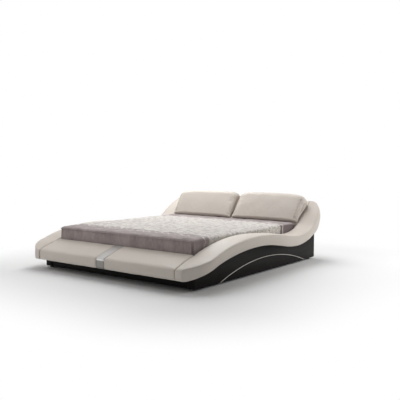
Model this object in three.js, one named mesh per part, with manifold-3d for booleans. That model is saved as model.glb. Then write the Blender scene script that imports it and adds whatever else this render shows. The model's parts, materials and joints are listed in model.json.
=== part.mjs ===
// A low leather bed. A black plinth carries two wave-shaped side rails that sweep up
// into a curled headboard. A split bench closes the foot end, two padded headrests
// tilt on pin hinges, and the mattress lies on slats inside.
// Millimetres. X runs across the bed, Y from the foot to the head, Z up. While the
// pieces are made, Y is zero at the foot end of the mattress.

import * as THREE from 'three';
import { mergeVertices } from 'three/addons/utils/BufferGeometryUtils.js';
import Module from 'manifold-3d';

const wasm = await Module();
wasm.setup();

// Gaps
const gap = {
  touching: 0.3,
  mattressSide: 25,
  mattressEnd: 10,
  running: 0.3,
};

// Mattress
const mattress = {
  width: 1930,
  length: 2030,
  height: 215,
  cornerRadius: 32,
  edgeInset: 22,
  crown: 6,
  crownInset: 240,
};
const mattressCornerSteps = 5;
const mattressRingShares = [
  [0, 0.55],
  [0.05, 0.11],
  [0.13, 0],
  [0.87, 0],
  [0.95, 0.11],
  [0.99, 0.45],
  [1, 1],
];

// Slatted deck
const deck = {
  height: 248,
  slatThickness: 20,
  slatWidth: 90,
  endMargin: 60,
  ledgeWidth: 60,
  ledgeHeight: 50,
  beamWidth: 70,
  beamHeight: 70,
  legRadius: 22,
};
const slatCount = 12;
const beamLegShares = [0.2, 0.5, 0.8];

// Plinth
const plinth = {
  floorGap: 20,
  sideThickness: 95,
  endThickness: 45,
  frontReach: 128,
  frontRecess: 10,
};
const plinthRearShare = 0.89;

// Glide feet
const glide = {
  radius: 25,
  waist: 19,
  inset: 45,
  rearInset: 97,
};

// Corner brackets inside the plinth
const bracket = {
  leg: 60,
  thickness: 3,
  height: 70,
  rise: 20,
};

// Light piping that arches over each plinth side
const piping = {
  footInset: 412,
  headInset: 262,
  rise: 158,
  width: 12,
  thickness: 5,
};
const pipingSteps = 28;

// Side rails: crest is the top of the wave, width the band's underside, and lean how
// far the outer face stands out above it at the foot end
const rail = {
  crest: 448,
  width: 232,
  lean: 26,
  shoulder: 30,
  lowerRadius: 18,
};
const railCrownShare = 0.04;
const railSectionLimitShare = 0.45;
const railArcSteps = 4;

// Foot bench
const bench = {
  depth: 300,
  padThickness: 45,
  padCrown: 5,
  padDrawIn: 7,
  strapWidth: 120,
  strapInset: 2,
};
const benchPadSections = 13;
const benchPadEndPower = 6;

// Headboard: a straight padded ramp behind the mattress that ends in a rolled rim
const ramp = {
  footHeight: 455,
  run: 300,
  rise: 242,
  skirtThickness: 40,
  skirtBottom: 118,
};

// The wave in three stretches. Each row holds the top line's place and height, the
// underside's place and height, and the width. Places are shares of the bench depth,
// the mattress length and the ramp's run; heights are shares of the crest, and on the
// ramp of its rise; widths are shares of the rail's width.
const footShares = [
  [-1, 0.426, -1, 0.314, 0.25],
  [-0.979, 0.484, -0.979, 0.278, 0.38],
  [-0.92, 0.525, -0.91, 0.2646, 0.52],
  [-0.826, 0.554, -0.781, 0.2825, 0.67],
  [-0.625, 0.605, -0.597, 0.334, 0.83],
  [-0.36, 0.664, -0.33, 0.399, 0.95],
  [-0.08, 0.718, 0.017, 0.471, 1],
];
const waveShares = [
  [0.037, 0.794, 0.0468, 0.534, 1],
  [0.117, 0.888, 0.1236, 0.6166, 1],
  [0.201, 0.951, 0.2094, 0.6816, 1],
  [0.289, 0.989, 0.299, 0.7265, 1],
  [0.382, 1, 0.3931, 0.74, 1],
  [0.478, 0.982, 0.4926, 0.722, 1],
  [0.581, 0.9395, 0.5975, 0.657, 1],
  [0.687, 0.872, 0.7084, 0.576, 1],
  [0.775, 0.823, 0.793, 0.554, 1],
  [0.841, 0.814, 0.8547, 0.5695, 1],
  [0.897, 0.8386, 0.9113, 0.619, 1],
  [0.946, 0.8924, 0.958, 0.679, 1],
  [0.9803, 0.953, 1, 0.7534, 1],
];
const curlShares = [
  [0, 0, 0.223, -0.347, 0.985],
  [0.2, 0.2, 0.437, -0.124, 0.965],
  [0.4, 0.4, 0.59, 0.116, 0.93],
  [0.567, 0.567, 0.713, 0.31, 0.875],
  [0.733, 0.733, 0.827, 0.496, 0.775],
  [0.867, 0.867, 0.953, 0.661, 0.63],
  [1, 1, 1.087, 0.806, 0.43],
  [1.087, 1.058, 1.173, 0.921, 0.22],
  [1.16, 1.062, 1.2, 0.992, 0.06],
];
const noseRows = 3;
const waveSteps = 2;

// Headrests, in the ramp's own directions: along it from the hinge, and out of it. The
// section is a small nose round the hinge, a slanting face and a large roll at the top.
const headrest = {
  centreGap: 30,
  outerReach: 20,
  hingeAlong: 31,
  hingeOut: 18,
  noseRadius: 14,
  boardOut: 10,
  boardThickness: 12,
  boardStart: 16,
  boardLength: 300,
  boardInset: 50,
  rollAlong: 308,
  rollOut: 77,
  rollRadius: 58,
  crown: 10,
};
const headrestSections = 15;
const headrestNoseSteps = 6;
const headrestFaceSteps = 5;
const headrestRollSteps = 9;
const headrestInnerEndShares = { length: 0.96, depth: 0.85 };
const headrestOuterEndShares = { length: 0.85, depth: 0.6 };
const headrestEndPower = 8;
const headrestFlatShare = 0.3;

// Headrest hinges
const hinge = {
  pinRadius: 4,
  knuckleRadius: 9,
  baseKnuckle: 24,
  armKnuckle: 14,
  sideGap: 0.5,
  plateThickness: 3,
  plateWidth: 50,
  basePlateLow: 24,
  basePlateHigh: 44,
  armPlateLength: 56,
  armWebLength: 14,
  webWidth: 12,
  headRadius: 6.5,
  headThickness: 2.5,
  notchMargin: 1.5,
  notchLip: 13,
  seatGap: 0.5,
};
const hingePlaceShares = [0.2, 0.8];

const roundSteps = 20;

// Places that several pieces share
const railInner = mattress.width / 2 + gap.mattressSide;
const insideHalf = railInner - gap.touching;
const plinthHalf = railInner + plinth.sideThickness;
const rampStart = mattress.length + gap.mattressEnd;
const plinthFront = -plinth.frontReach;
const plinthRear = rampStart + plinthRearShare * ramp.run;
const benchBack = -gap.mattressEnd;
const beamTop = deck.height - deck.slatThickness - gap.touching;
const beamBottom = beamTop - deck.beamHeight;
const rampAngle = Math.atan2(ramp.rise, ramp.run);

// Materials
function finish(color, roughness, metalness = 0) {
  return new THREE.MeshStandardMaterial({ color, roughness, metalness });
}

const materials = {
  leather: finish(0xc9c0b5, 0.5),
  blackLeather: finish(0x232120, 0.55),
  strap: finish(0xa9a6a2, 0.35, 0.2),
  piping: finish(0xe6e2dc, 0.5),
  mattress: finish(0x8d8381, 0.85),
  timber: finish(0xc8a577, 0.7),
  board: finish(0xb8946a, 0.75),
  steel: finish(0x9a9c9f, 0.35, 0.9),
  glide: finish(0x151515, 0.6),
};

// Geometry helpers
function boxBetween(low, high) {
  const size = high.map((value, axis) => value - low[axis]);
  const geometry = new THREE.BoxGeometry(size[0], size[1], size[2]);
  const centre = low.map((value, axis) => value + size[axis] / 2);
  return geometry.translate(centre[0], centre[1], centre[2]);
}

// An outline in the Y-Z plane pushed across the bed
function extrudeAcross(outline, xLow, xHigh) {
  const shape = new THREE.Shape(outline.map(([y, z]) => new THREE.Vector2(y, z)));
  const geometry = new THREE.ExtrudeGeometry(shape, { depth: xHigh - xLow, bevelEnabled: false });
  const turn = new THREE.Matrix4().set(0, 0, 1, xLow, 1, 0, 0, 0, 0, 1, 0, 0, 0, 0, 0, 1);
  return geometry.applyMatrix4(turn);
}

// An outline in the X-Y plane pushed upwards
function extrudeUp(outline, zLow, zHigh) {
  const shape = new THREE.Shape(outline.map(([x, y]) => new THREE.Vector2(x, y)));
  const geometry = new THREE.ExtrudeGeometry(shape, { depth: zHigh - zLow, bevelEnabled: false });
  return geometry.translate(0, 0, zLow);
}

function signedVolume(positions, faces) {
  const [a, b, c] = [new THREE.Vector3(), new THREE.Vector3(), new THREE.Vector3()];
  let sum = 0;
  for (let i = 0; i < faces.length; i += 3) {
    a.fromArray(positions, 3 * faces[i]);
    b.fromArray(positions, 3 * faces[i + 1]);
    c.fromArray(positions, 3 * faces[i + 2]);
    sum += a.dot(b.cross(c));
  }
  return sum;
}

// Triangles over a flat outline, wound the same way as the outline itself
function capFaces(outline) {
  const faces = THREE.ShapeUtils.triangulateShape(outline, []);
  const areas = faces.map((face) => THREE.ShapeUtils.area(face.map((i) => outline[i])));
  const total = areas.reduce((sum, area) => sum + area, 0);
  const sameWay = total * THREE.ShapeUtils.area(outline) > 0;
  return faces.map(([p, q, s]) => (sameWay ? [p, q, s] : [q, p, s]));
}

// A closed skin through rings of equal count; each end is closed over its flat outline
function loft(rings, firstOutline, lastOutline) {
  const count = rings[0].length;
  const positions = rings.flat().flatMap((point) => point.toArray());
  const faces = [];
  for (let r = 0; r < rings.length - 1; r += 1) {
    for (let i = 0; i < count; i += 1) {
      const next = (i + 1) % count;
      const [a, b] = [r * count + i, r * count + next];
      faces.push(a, b, b + count, a, b + count, a + count);
    }
  }
  const last = (rings.length - 1) * count;
  for (const [p, q, s] of capFaces(firstOutline)) {
    faces.push(q, p, s);
  }
  for (const [p, q, s] of capFaces(lastOutline)) {
    faces.push(last + p, last + q, last + s);
  }
  if (signedVolume(positions, faces) < 0) {
    for (let i = 0; i < faces.length; i += 3) {
      [faces[i], faces[i + 1]] = [faces[i + 1], faces[i]];
    }
  }
  const geometry = new THREE.BufferGeometry();
  geometry.setAttribute('position', new THREE.Float32BufferAttribute(positions, 3));
  geometry.setIndex(faces);
  return geometry;
}

function toSolid(geometry) {
  const bare = geometry.clone();
  bare.deleteAttribute('normal');
  bare.deleteAttribute('uv');
  const merged = mergeVertices(bare);
  const vertProperties = Float32Array.from(merged.attributes.position.array);
  const triVerts = Uint32Array.from(merged.index.array);
  return new wasm.Manifold(new wasm.Mesh({ numProp: 3, vertProperties, triVerts }));
}

function fromSolid(solid) {
  const mesh = solid.getMesh();
  const geometry = new THREE.BufferGeometry();
  geometry.setAttribute('position', new THREE.Float32BufferAttribute(mesh.vertProperties, 3));
  geometry.setIndex(Array.from(mesh.triVerts));
  return geometry;
}

function joined(geometries) {
  return geometries.map(toSolid).reduce((sum, solid) => sum.add(solid));
}

function mirroredAcross(geometry) {
  const copy = geometry.clone().scale(-1, 1, 1);
  const faces = copy.index.array;
  for (let i = 0; i < faces.length; i += 3) {
    [faces[i], faces[i + 1]] = [faces[i + 1], faces[i]];
  }
  return copy;
}

function indexed(geometry) {
  const bare = geometry.clone();
  bare.deleteAttribute('normal');
  bare.deleteAttribute('uv');
  return mergeVertices(bare);
}

// Places from -1 to 1, closer together towards both ends
function easedShares(count) {
  return Array.from({ length: count }, (_, i) => -Math.cos((Math.PI * i) / (count - 1)));
}

const bed = new THREE.Group();

function place(parent, name, geometry, material) {
  const shaded = geometry.index ? geometry.toNonIndexed() : geometry;
  shaded.computeVertexNormals();
  const mesh = new THREE.Mesh(shaded, material);
  mesh.name = name;
  parent.add(mesh);
  return mesh;
}

function placePair(parent, name, geometry, material) {
  place(parent, `${name}_right`, geometry, material);
  place(parent, `${name}_left`, mirroredAcross(indexed(geometry)), material);
}

// The wave's stations, from the nose of the bench to the rim of the headboard
function waveStations() {
  const rows = [
    ...footShares.map(([topY, topZ, underY, underZ, width]) => ({
      top: new THREE.Vector2(topY * bench.depth, topZ * rail.crest),
      under: new THREE.Vector2(underY * bench.depth, underZ * rail.crest),
      width: width * rail.width,
    })),
    ...waveShares.map(([topY, topZ, underY, underZ, width]) => ({
      top: new THREE.Vector2(topY * mattress.length, topZ * rail.crest),
      under: new THREE.Vector2(underY * mattress.length, underZ * rail.crest),
      width: width * rail.width,
    })),
  ];
  const curl = curlShares.map(([topY, topZ, underY, underZ, width]) => ({
    top: new THREE.Vector2(rampStart + topY * ramp.run, ramp.footHeight + topZ * ramp.rise),
    under: new THREE.Vector2(rampStart + underY * ramp.run, ramp.footHeight + underZ * ramp.rise),
    width: width * rail.width,
  }));
  const smooth = [...rows, curl[0], curl[1]];
  const topLine = new THREE.SplineCurve(smooth.map((row) => row.top));
  const underLine = new THREE.SplineCurve(smooth.map((row) => row.under));
  const widthLine = new THREE.SplineCurve(smooth.map((row, i) => new THREE.Vector2(i, row.width)));
  const stations = [];
  for (let step = 0; step < rows.length * waveSteps; step += 1) {
    const t = step / waveSteps / (smooth.length - 1);
    stations.push({
      top: topLine.getPoint(t),
      under: underLine.getPoint(t),
      width: Math.min(widthLine.getPoint(t).y, rail.width),
    });
  }
  return [...stations, ...curl];
}

const stations = waveStations();
const curlStations = stations.slice(-curlShares.length);

// Height of a station line at a place along the bed
function heightAt(line, y) {
  const points = stations.map((station) => station[line]);
  const after = points.findIndex((point) => point.x > y);
  const [p, q] = [points[after - 1], points[after]];
  return p.y + ((y - p.x) / (q.x - p.x)) * (q.y - p.y);
}

function linePoints(line, yLow, yHigh) {
  const points = stations.map((station) => station[line]);
  const inside = points.filter((p) => p.x > yLow && p.x < yHigh);
  return [
    [yLow, heightAt(line, yLow)],
    ...inside.map((p) => [p.x, p.y]),
    [yHigh, heightAt(line, yHigh)],
  ];
}

// Band cross-section: x across from the inner edge, z up from the underside
function bandOutline(width, height, lean) {
  const limit = Math.min(width, height) * railSectionLimitShare;
  const shoulder = Math.min(rail.shoulder, limit);
  const lower = Math.min(rail.lowerRadius, limit);
  const outer = width + lean;
  const corners = [
    [width - lower, lower, lower, -Math.PI / 2, 0],
    [outer - shoulder, height - shoulder, shoulder, 0, Math.PI / 2],
    [lower, height - lower, lower, Math.PI / 2, Math.PI],
  ];
  const arcs = corners.map(([x, z, radius, start, end]) => {
    return Array.from({ length: railArcSteps + 1 }, (_, i) => {
      const angle = start + ((end - start) * i) / railArcSteps;
      return new THREE.Vector2(x + radius * Math.cos(angle), z + radius * Math.sin(angle));
    });
  });
  const crown = new THREE.QuadraticBezierCurve(
    arcs[1].at(-1),
    new THREE.Vector2((outer - shoulder + lower) / 2, height + width * railCrownShare),
    arcs[2][0],
  );
  const between = crown.getPoints(railArcSteps).slice(1, -1);
  return [new THREE.Vector2(), ...arcs[0], ...arcs[1], ...between, ...arcs[2]];
}

function railGeometry() {
  const outlines = stations.map(({ top, under, width }) => {
    const towardsFoot = THREE.MathUtils.clamp(1 - top.x / rampStart, 0, 1);
    return bandOutline(width, top.distanceTo(under), rail.lean * towardsFoot);
  });
  const rings = outlines.map((outline, i) => {
    const { top, under } = stations[i];
    const up = top.clone().sub(under).normalize();
    return outline.map((p) => {
      return new THREE.Vector3(railInner + p.x, under.x + up.x * p.y, under.y + up.y * p.y);
    });
  });
  return loft(rings, outlines[0], outlines.at(-1));
}

// Plinth
function addPlinth() {
  const bottom = plinth.floorGap;
  const top = linePoints('under', plinthFront, plinthRear).map(([y, z]) => [y, z - gap.touching]);
  const sideOutline = [[plinthFront, bottom], [plinthRear, bottom], ...top.reverse()];
  const side = extrudeAcross(sideOutline, railInner, plinthHalf);
  placePair(bed, 'plinth_side_panel', side, materials.blackLeather);

  const frontFace = plinthFront + plinth.frontRecess;
  const benchBottom = footShares[noseRows - 1][3] * rail.crest;
  const front = boxBetween(
    [-insideHalf, frontFace, bottom],
    [insideHalf, frontFace + plinth.endThickness, benchBottom - gap.touching],
  );
  place(bed, 'plinth_front_panel', front, materials.blackLeather);

  const rearFace = plinthRear - plinth.endThickness;
  const rearTop = linePoints('under', rearFace, plinthRear).map(([y, z]) => [y, z - gap.touching]);
  const rearOutline = [[rearFace, bottom], [plinthRear, bottom], ...rearTop.reverse()];
  const rear = extrudeAcross(rearOutline, -insideHalf, insideHalf);
  place(bed, 'plinth_rear_panel', rear, materials.blackLeather);

  addBrackets(frontFace + plinth.endThickness, rearFace);
  addGlides();
  addPiping();
}

function addBrackets(frontInside, rearInside) {
  const zLow = plinth.floorGap + bracket.rise;
  for (const [end, y, towards] of [['front', frontInside, 1], ['rear', rearInside, -1]]) {
    const corner = y + towards * gap.touching;
    const outline = [
      [insideHalf, corner],
      [insideHalf, corner + towards * bracket.leg],
      [insideHalf - bracket.thickness, corner + towards * bracket.leg],
      [insideHalf - bracket.thickness, corner + towards * bracket.thickness],
      [insideHalf - bracket.leg, corner + towards * bracket.thickness],
      [insideHalf - bracket.leg, corner],
    ];
    const geometry = extrudeUp(outline, zLow, zLow + bracket.height);
    placePair(bed, `corner_bracket_${end}`, geometry, materials.steel);
  }
}

function addGlides() {
  const top = plinth.floorGap - gap.touching;
  const profile = [[0, 0], [glide.radius, 0], [glide.waist, top], [0, top]];
  const points = profile.map(([r, z]) => new THREE.Vector2(r, z));
  const x = plinthHalf - glide.inset;
  const ends = [['front', plinthFront + glide.inset], ['rear', plinthRear - glide.rearInset]];
  for (const [end, y] of ends) {
    const geometry = new THREE.LatheGeometry(points, roundSteps).rotateX(Math.PI / 2);
    placePair(bed, `glide_foot_${end}`, geometry.translate(x, y, 0), materials.glide);
  }
}

function addPiping() {
  const start = plinthFront + piping.footInset;
  const halfSpan = (plinthRear - piping.headInset - start) / 2;
  const radius = (halfSpan ** 2 + piping.rise ** 2) / (2 * piping.rise);
  const centreY = start + halfSpan;
  const centreZ = plinth.floorGap + piping.rise - radius;
  const reach = Math.asin(halfSpan / radius);
  const band = (r) => Array.from({ length: pipingSteps + 1 }, (_, i) => {
    const angle = Math.PI / 2 + reach * (1 - (2 * i) / pipingSteps);
    return [centreY + r * Math.cos(angle), centreZ + r * Math.sin(angle)];
  });
  const outline = [...band(radius), ...band(radius + piping.width).reverse()];
  const face = plinthHalf + gap.touching;
  const geometry = extrudeAcross(outline, face, face + piping.thickness);
  placePair(bed, 'side_piping', geometry, materials.piping);
}

// Slatted deck, carried by two ledges and a centre beam on three legs
function addDeck() {
  const ledge = boxBetween(
    [insideHalf - deck.ledgeWidth, benchBack + gap.touching, beamTop - deck.ledgeHeight],
    [insideHalf, rampStart - gap.touching, beamTop],
  );
  placePair(bed, 'slat_ledge', ledge, materials.timber);

  const beam = boxBetween(
    [-deck.beamWidth / 2, benchBack + gap.touching, beamBottom],
    [deck.beamWidth / 2, rampStart - gap.touching, beamTop],
  );
  place(bed, 'centre_beam', beam, materials.timber);

  const legTop = beamBottom - gap.touching;
  beamLegShares.forEach((share, i) => {
    const radius = deck.legRadius;
    const geometry = new THREE.CylinderGeometry(radius, radius, legTop, roundSteps);
    geometry.rotateX(Math.PI / 2).translate(0, share * mattress.length, legTop / 2);
    place(bed, `beam_leg_${i + 1}`, geometry, materials.steel);
  });

  const firstSlat = deck.endMargin;
  const pitch = (mattress.length - 2 * deck.endMargin - deck.slatWidth) / (slatCount - 1);
  for (let i = 0; i < slatCount; i += 1) {
    const y = firstSlat + i * pitch;
    const slat = boxBetween(
      [-insideHalf + gap.touching, y, deck.height - deck.slatThickness],
      [insideHalf - gap.touching, y + deck.slatWidth, deck.height],
    );
    place(bed, `slat_${i + 1}`, slat, materials.timber);
  }
}

// Mattress: stacked rounded outlines, drawn in at its top and bottom edges
function addMattress() {
  const bottom = deck.height + gap.touching;
  const ring = (inset, z) => {
    const [x, y] = [mattress.width / 2 - inset, mattress.length / 2 - inset];
    const r = mattress.cornerRadius;
    const shape = new THREE.Path();
    shape.moveTo(x, r - y);
    shape.absarc(x - r, y - r, r, 0, Math.PI / 2, false);
    shape.absarc(r - x, y - r, r, Math.PI / 2, Math.PI, false);
    shape.absarc(r - x, r - y, r, Math.PI, Math.PI * 1.5, false);
    shape.absarc(x - r, r - y, r, Math.PI * 1.5, Math.PI * 2, false);
    const points = shape.getPoints(mattressCornerSteps).slice(0, -1);
    return points.map((p) => new THREE.Vector3(p.x, p.y + mattress.length / 2, z));
  };
  const rings = mattressRingShares.map(([height, inset]) => {
    return ring(inset * mattress.edgeInset, bottom + height * mattress.height);
  });
  rings.push(ring(mattress.crownInset, bottom + mattress.height + mattress.crown));
  const flat = (points) => points.map((p) => new THREE.Vector2(p.x, p.y));
  place(bed, 'mattress', loft(rings, flat(rings[0]), flat(rings.at(-1))), materials.mattress);
}

// Foot bench: a timber core, two crowned pads and the strap between them
function benchOutline(inset) {
  const top = linePoints('top', -bench.depth, benchBack).reverse();
  const nose = footShares.slice(0, noseRows).map(([, , underY, underZ]) => {
    return [underY * bench.depth, underZ * rail.crest];
  });
  const outer = [...top, ...nose];
  const bottom = nose.at(-1)[1];
  const inner = -bench.depth + bench.padThickness;
  const shrunk = outer.map(([y, z], i) => {
    const before = outer[Math.max(i - 1, 0)];
    const after = outer[Math.min(i + 1, outer.length - 1)];
    const along = new THREE.Vector2(after[0] - before[0], after[1] - before[1]).normalize();
    const atBack = i === 0 ? 0 : 1;
    const atBottom = i === outer.length - 1 ? 0 : 1;
    return [y - along.y * inset * atBack, z + along.x * inset * atBottom];
  });
  return [
    ...shrunk,
    [inner, bottom],
    [inner, heightAt('top', inner) - bench.padThickness],
    [benchBack, heightAt('top', benchBack) - bench.padThickness],
  ];
}

function addBench() {
  const inner = -bench.depth + bench.padThickness + gap.touching;
  const bottom = footShares[noseRows - 1][3] * rail.crest;
  const below = bench.padThickness + gap.touching;
  const coreOutline = [
    [inner, bottom],
    [benchBack, bottom],
    [benchBack, heightAt('top', benchBack) - below],
    [inner, heightAt('top', inner) - below],
  ];
  place(bed, 'bench_core', extrudeAcross(coreOutline, -insideHalf, insideHalf), materials.board);

  const xLow = bench.strapWidth / 2 + gap.touching;
  const xHigh = insideHalf - gap.touching;
  const sections = easedShares(benchPadSections);
  const outlines = sections.map((share) => {
    const crown = bench.padCrown * (1 - share ** 2);
    return benchOutline(bench.padDrawIn * share ** benchPadEndPower - crown);
  });
  const rings = outlines.map((outline, i) => {
    const x = xLow + ((sections[i] + 1) / 2) * (xHigh - xLow);
    return outline.map(([y, z]) => new THREE.Vector3(x, y, z));
  });
  const flat = outlines.map((outline) => outline.map(([y, z]) => new THREE.Vector2(y, z)));
  placePair(bed, 'bench_pad', loft(rings, flat[0], flat.at(-1)), materials.leather);

  const strapHalf = bench.strapWidth / 2;
  const strap = extrudeAcross(benchOutline(bench.strapInset), -strapHalf, strapHalf);
  place(bed, 'bench_strap', strap, materials.strap);
}

// Headboard shell between the rails: ramp, rolled rim and a skirt behind the mattress
function addHeadboard() {
  const skirtBack = rampStart + ramp.skirtThickness;
  const outline = [
    [rampStart, ramp.skirtBottom],
    ...curlStations.map(({ top }) => [top.x, top.y]),
    ...curlStations.map(({ under }) => [under.x, under.y]).reverse(),
    [skirtBack, heightAt('under', skirtBack)],
    [skirtBack, ramp.skirtBottom],
  ];
  place(bed, 'headboard_shell', extrudeAcross(outline, -insideHalf, insideHalf), materials.leather);
}

// Headrest outline: u runs up the ramp from the hinge, w stands out of the ramp. The
// fullness is 1 along the middle and falls to 0 at each end, where the section shrinks.
function headrestOutline(fullness, endShares) {
  const { hingeOut, noseRadius, rollAlong, rollOut, rollRadius } = headrest;
  const backOut = headrest.boardOut + headrest.boardThickness + gap.touching;
  const rise = rollOut - hingeOut;
  const lean = Math.atan2(rise, rollAlong)
    + Math.asin((rollRadius - noseRadius) / Math.hypot(rollAlong, rise));
  const faceAngle = Math.PI / 2 + lean;
  const noseAngle = Math.asin((backOut - hingeOut) / noseRadius);
  const rollAngle = Math.asin((backOut - rollOut) / rollRadius);
  const points = [];
  for (let i = 0; i <= headrestNoseSteps; i += 1) {
    const turn = faceAngle - 2 * Math.PI - noseAngle;
    const angle = noseAngle + (turn * i) / headrestNoseSteps;
    points.push([noseRadius * Math.cos(angle), hingeOut + noseRadius * Math.sin(angle)]);
  }
  const [noseU, noseW] = points.at(-1);
  const faceU = rollAlong + rollRadius * Math.cos(faceAngle);
  const faceW = rollOut + rollRadius * Math.sin(faceAngle);
  for (let i = 1; i < headrestFaceSteps; i += 1) {
    const t = i / headrestFaceSteps;
    const full = headrestFlatShare + (1 - headrestFlatShare) * fullness;
    const bulge = headrest.crown * Math.sin(Math.PI * t) * full;
    points.push([noseU + (faceU - noseU) * t, noseW + (faceW - noseW) * t + bulge]);
  }
  for (let i = 0; i <= headrestRollSteps; i += 1) {
    const angle = faceAngle + ((rollAngle - faceAngle) * i) / headrestRollSteps;
    points.push([
      rollAlong + rollRadius * Math.cos(angle),
      rollOut + rollRadius * Math.sin(angle),
    ]);
  }
  const lengthScale = endShares.length + (1 - endShares.length) * fullness;
  const depthScale = endShares.depth + (1 - endShares.depth) * fullness;
  return points.map(([u, w]) => [
    u * lengthScale,
    w > backOut ? backOut + (w - backOut) * depthScale : w,
  ]);
}

function notchSolid(x) {
  const half = hinge.baseKnuckle / 2 + hinge.sideGap + hinge.armKnuckle + hinge.sideGap
    + hinge.headThickness + hinge.notchMargin;
  const clear = hinge.knuckleRadius + hinge.notchMargin;
  const far = headrest.boardStart + hinge.plateWidth;
  const back = boxBetween([x - half, -clear, -far], [x + half, far, headrest.hingeOut + clear]);
  const lip = boxBetween([x - half, -far, -far], [x + half, far, hinge.notchLip]);
  return joined([back, lip]);
}

function hingePart(rings, extras) {
  const knuckles = rings.map(([low, high]) => {
    const radius = hinge.knuckleRadius;
    const geometry = new THREE.CylinderGeometry(radius, radius, high - low, roundSteps);
    return geometry.rotateZ(Math.PI / 2).translate((low + high) / 2, 0, headrest.hingeOut);
  });
  const boreRadius = hinge.pinRadius + gap.running;
  const bore = new THREE.CylinderGeometry(boreRadius, boreRadius, 2 * hinge.plateWidth, roundSteps);
  bore.rotateZ(Math.PI / 2).translate(0, 0, headrest.hingeOut);
  return fromSolid(joined([...knuckles, ...extras]).subtract(toSolid(bore)));
}

function addHinge(parent, name, x) {
  const { baseKnuckle, armKnuckle, sideGap, plateThickness, plateWidth, seatGap } = hinge;
  const baseHalf = baseKnuckle / 2;
  const armLow = baseHalf + sideGap;
  const armHigh = armLow + armKnuckle;
  const baseTop = seatGap + plateThickness;
  const basePlate = boxBetween(
    [-plateWidth / 2, -hinge.basePlateLow, seatGap],
    [plateWidth / 2, hinge.basePlateHigh, baseTop],
  );
  const baseWeb = boxBetween(
    [-baseHalf, -hinge.webWidth / 2, seatGap],
    [baseHalf, hinge.webWidth / 2, headrest.hingeOut],
  );
  const base = hingePart([[-baseHalf, baseHalf]], [basePlate, baseWeb]);
  place(parent, `${name}_base`, base.translate(x, 0, 0), materials.steel);

  const armTop = headrest.boardOut - gap.touching;
  const armPlate = boxBetween(
    [-armHigh, hinge.armWebLength - plateThickness, armTop - plateThickness],
    [armHigh, hinge.armPlateLength, armTop],
  );
  const armWebs = [-1, 1].map((side) => boxBetween(
    [side > 0 ? armLow : -armHigh, 0, armTop - plateThickness],
    [side > 0 ? armHigh : -armLow, hinge.armWebLength, headrest.hingeOut],
  ));
  const arm = hingePart([[-armHigh, -armLow], [armLow, armHigh]], [armPlate, ...armWebs]);
  place(parent, `${name}_arm`, arm.translate(x, 0, 0), materials.steel);

  const headStart = armHigh + gap.running;
  const pinEnd = headStart + hinge.headThickness;
  const half = [
    [hinge.pinRadius, headStart],
    [hinge.headRadius, headStart],
    [hinge.headRadius, pinEnd],
    [0, pinEnd],
  ];
  const mirrored = half.map(([r, along]) => [r, -along]).reverse();
  const profile = [...mirrored, ...half].map(([r, along]) => new THREE.Vector2(r, along));
  const pin = new THREE.LatheGeometry(profile, roundSteps).rotateZ(-Math.PI / 2);
  place(parent, `${name}_pin`, pin.translate(x, 0, headrest.hingeOut), materials.steel);
}

function addHeadrests() {
  const onRamp = new THREE.Group();
  onRamp.position.set(
    0,
    rampStart + Math.cos(rampAngle) * headrest.hingeAlong,
    ramp.footHeight + Math.sin(rampAngle) * headrest.hingeAlong,
  );
  onRamp.rotation.x = rampAngle;
  bed.add(onRamp);

  const xLow = headrest.centreGap / 2;
  const xHigh = railInner + headrest.outerReach;
  const shares = easedShares(headrestSections);
  const outlines = shares.map((share) => {
    const fullness = Math.sqrt(1 - Math.abs(share) ** headrestEndPower);
    return headrestOutline(fullness, share < 0 ? headrestInnerEndShares : headrestOuterEndShares);
  });
  const rings = outlines.map((outline, i) => {
    const x = xLow + ((shares[i] + 1) / 2) * (xHigh - xLow);
    return outline.map(([u, w]) => new THREE.Vector3(x, u, w));
  });
  const flat = outlines.map((outline) => outline.map(([u, w]) => new THREE.Vector2(u, w)));
  const places = hingePlaceShares.map((share) => xLow + share * (xHigh - xLow));
  const notches = places.map(notchSolid).reduce((sum, solid) => sum.add(solid));
  const cushion = fromSolid(toSolid(loft(rings, flat[0], flat.at(-1))).subtract(notches));
  placePair(onRamp, 'headrest_cushion', cushion, materials.leather);

  const board = boxBetween(
    [xLow + headrest.boardInset, headrest.boardStart, headrest.boardOut],
    [xHigh - headrest.boardInset, headrest.boardStart + headrest.boardLength,
      headrest.boardOut + headrest.boardThickness],
  );
  placePair(onRamp, 'headrest_board', board, materials.board);

  for (const [sideName, side] of [['right', 1], ['left', -1]]) {
    places.forEach((x, i) => {
      addHinge(onRamp, `headrest_hinge_${sideName}_${i + 1}`, side * x);
    });
  }
}

addPlinth();
placePair(bed, 'side_rail', railGeometry(), materials.leather);
addHeadboard();
addBench();
addDeck();
addMattress();
addHeadrests();

// The origin lies on the floor under the middle of the whole bed
bed.updateMatrixWorld(true);
const bounds = new THREE.Box3().setFromObject(bed, true);
bed.position.set(0, -(bounds.min.y + bounds.max.y) / 2, -bounds.min.z);
bed.updateMatrixWorld(true);

export default bed;
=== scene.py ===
"""Looks of the leather bed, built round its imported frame.

Lengths are metres. X runs across the bed, Y from the foot to the head and Z up. The bed's own
sizes count Y from the foot end of the mattress; BedPlan.placed moves them into the frame.
"""

from __future__ import annotations

import json
import logging
import math
from collections.abc import Callable, Sequence
from dataclasses import dataclass
from enum import Enum
from typing import Any

import bmesh
import bpy
import numpy as np
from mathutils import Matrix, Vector
from mathutils.bvhtree import BVHTree

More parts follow.
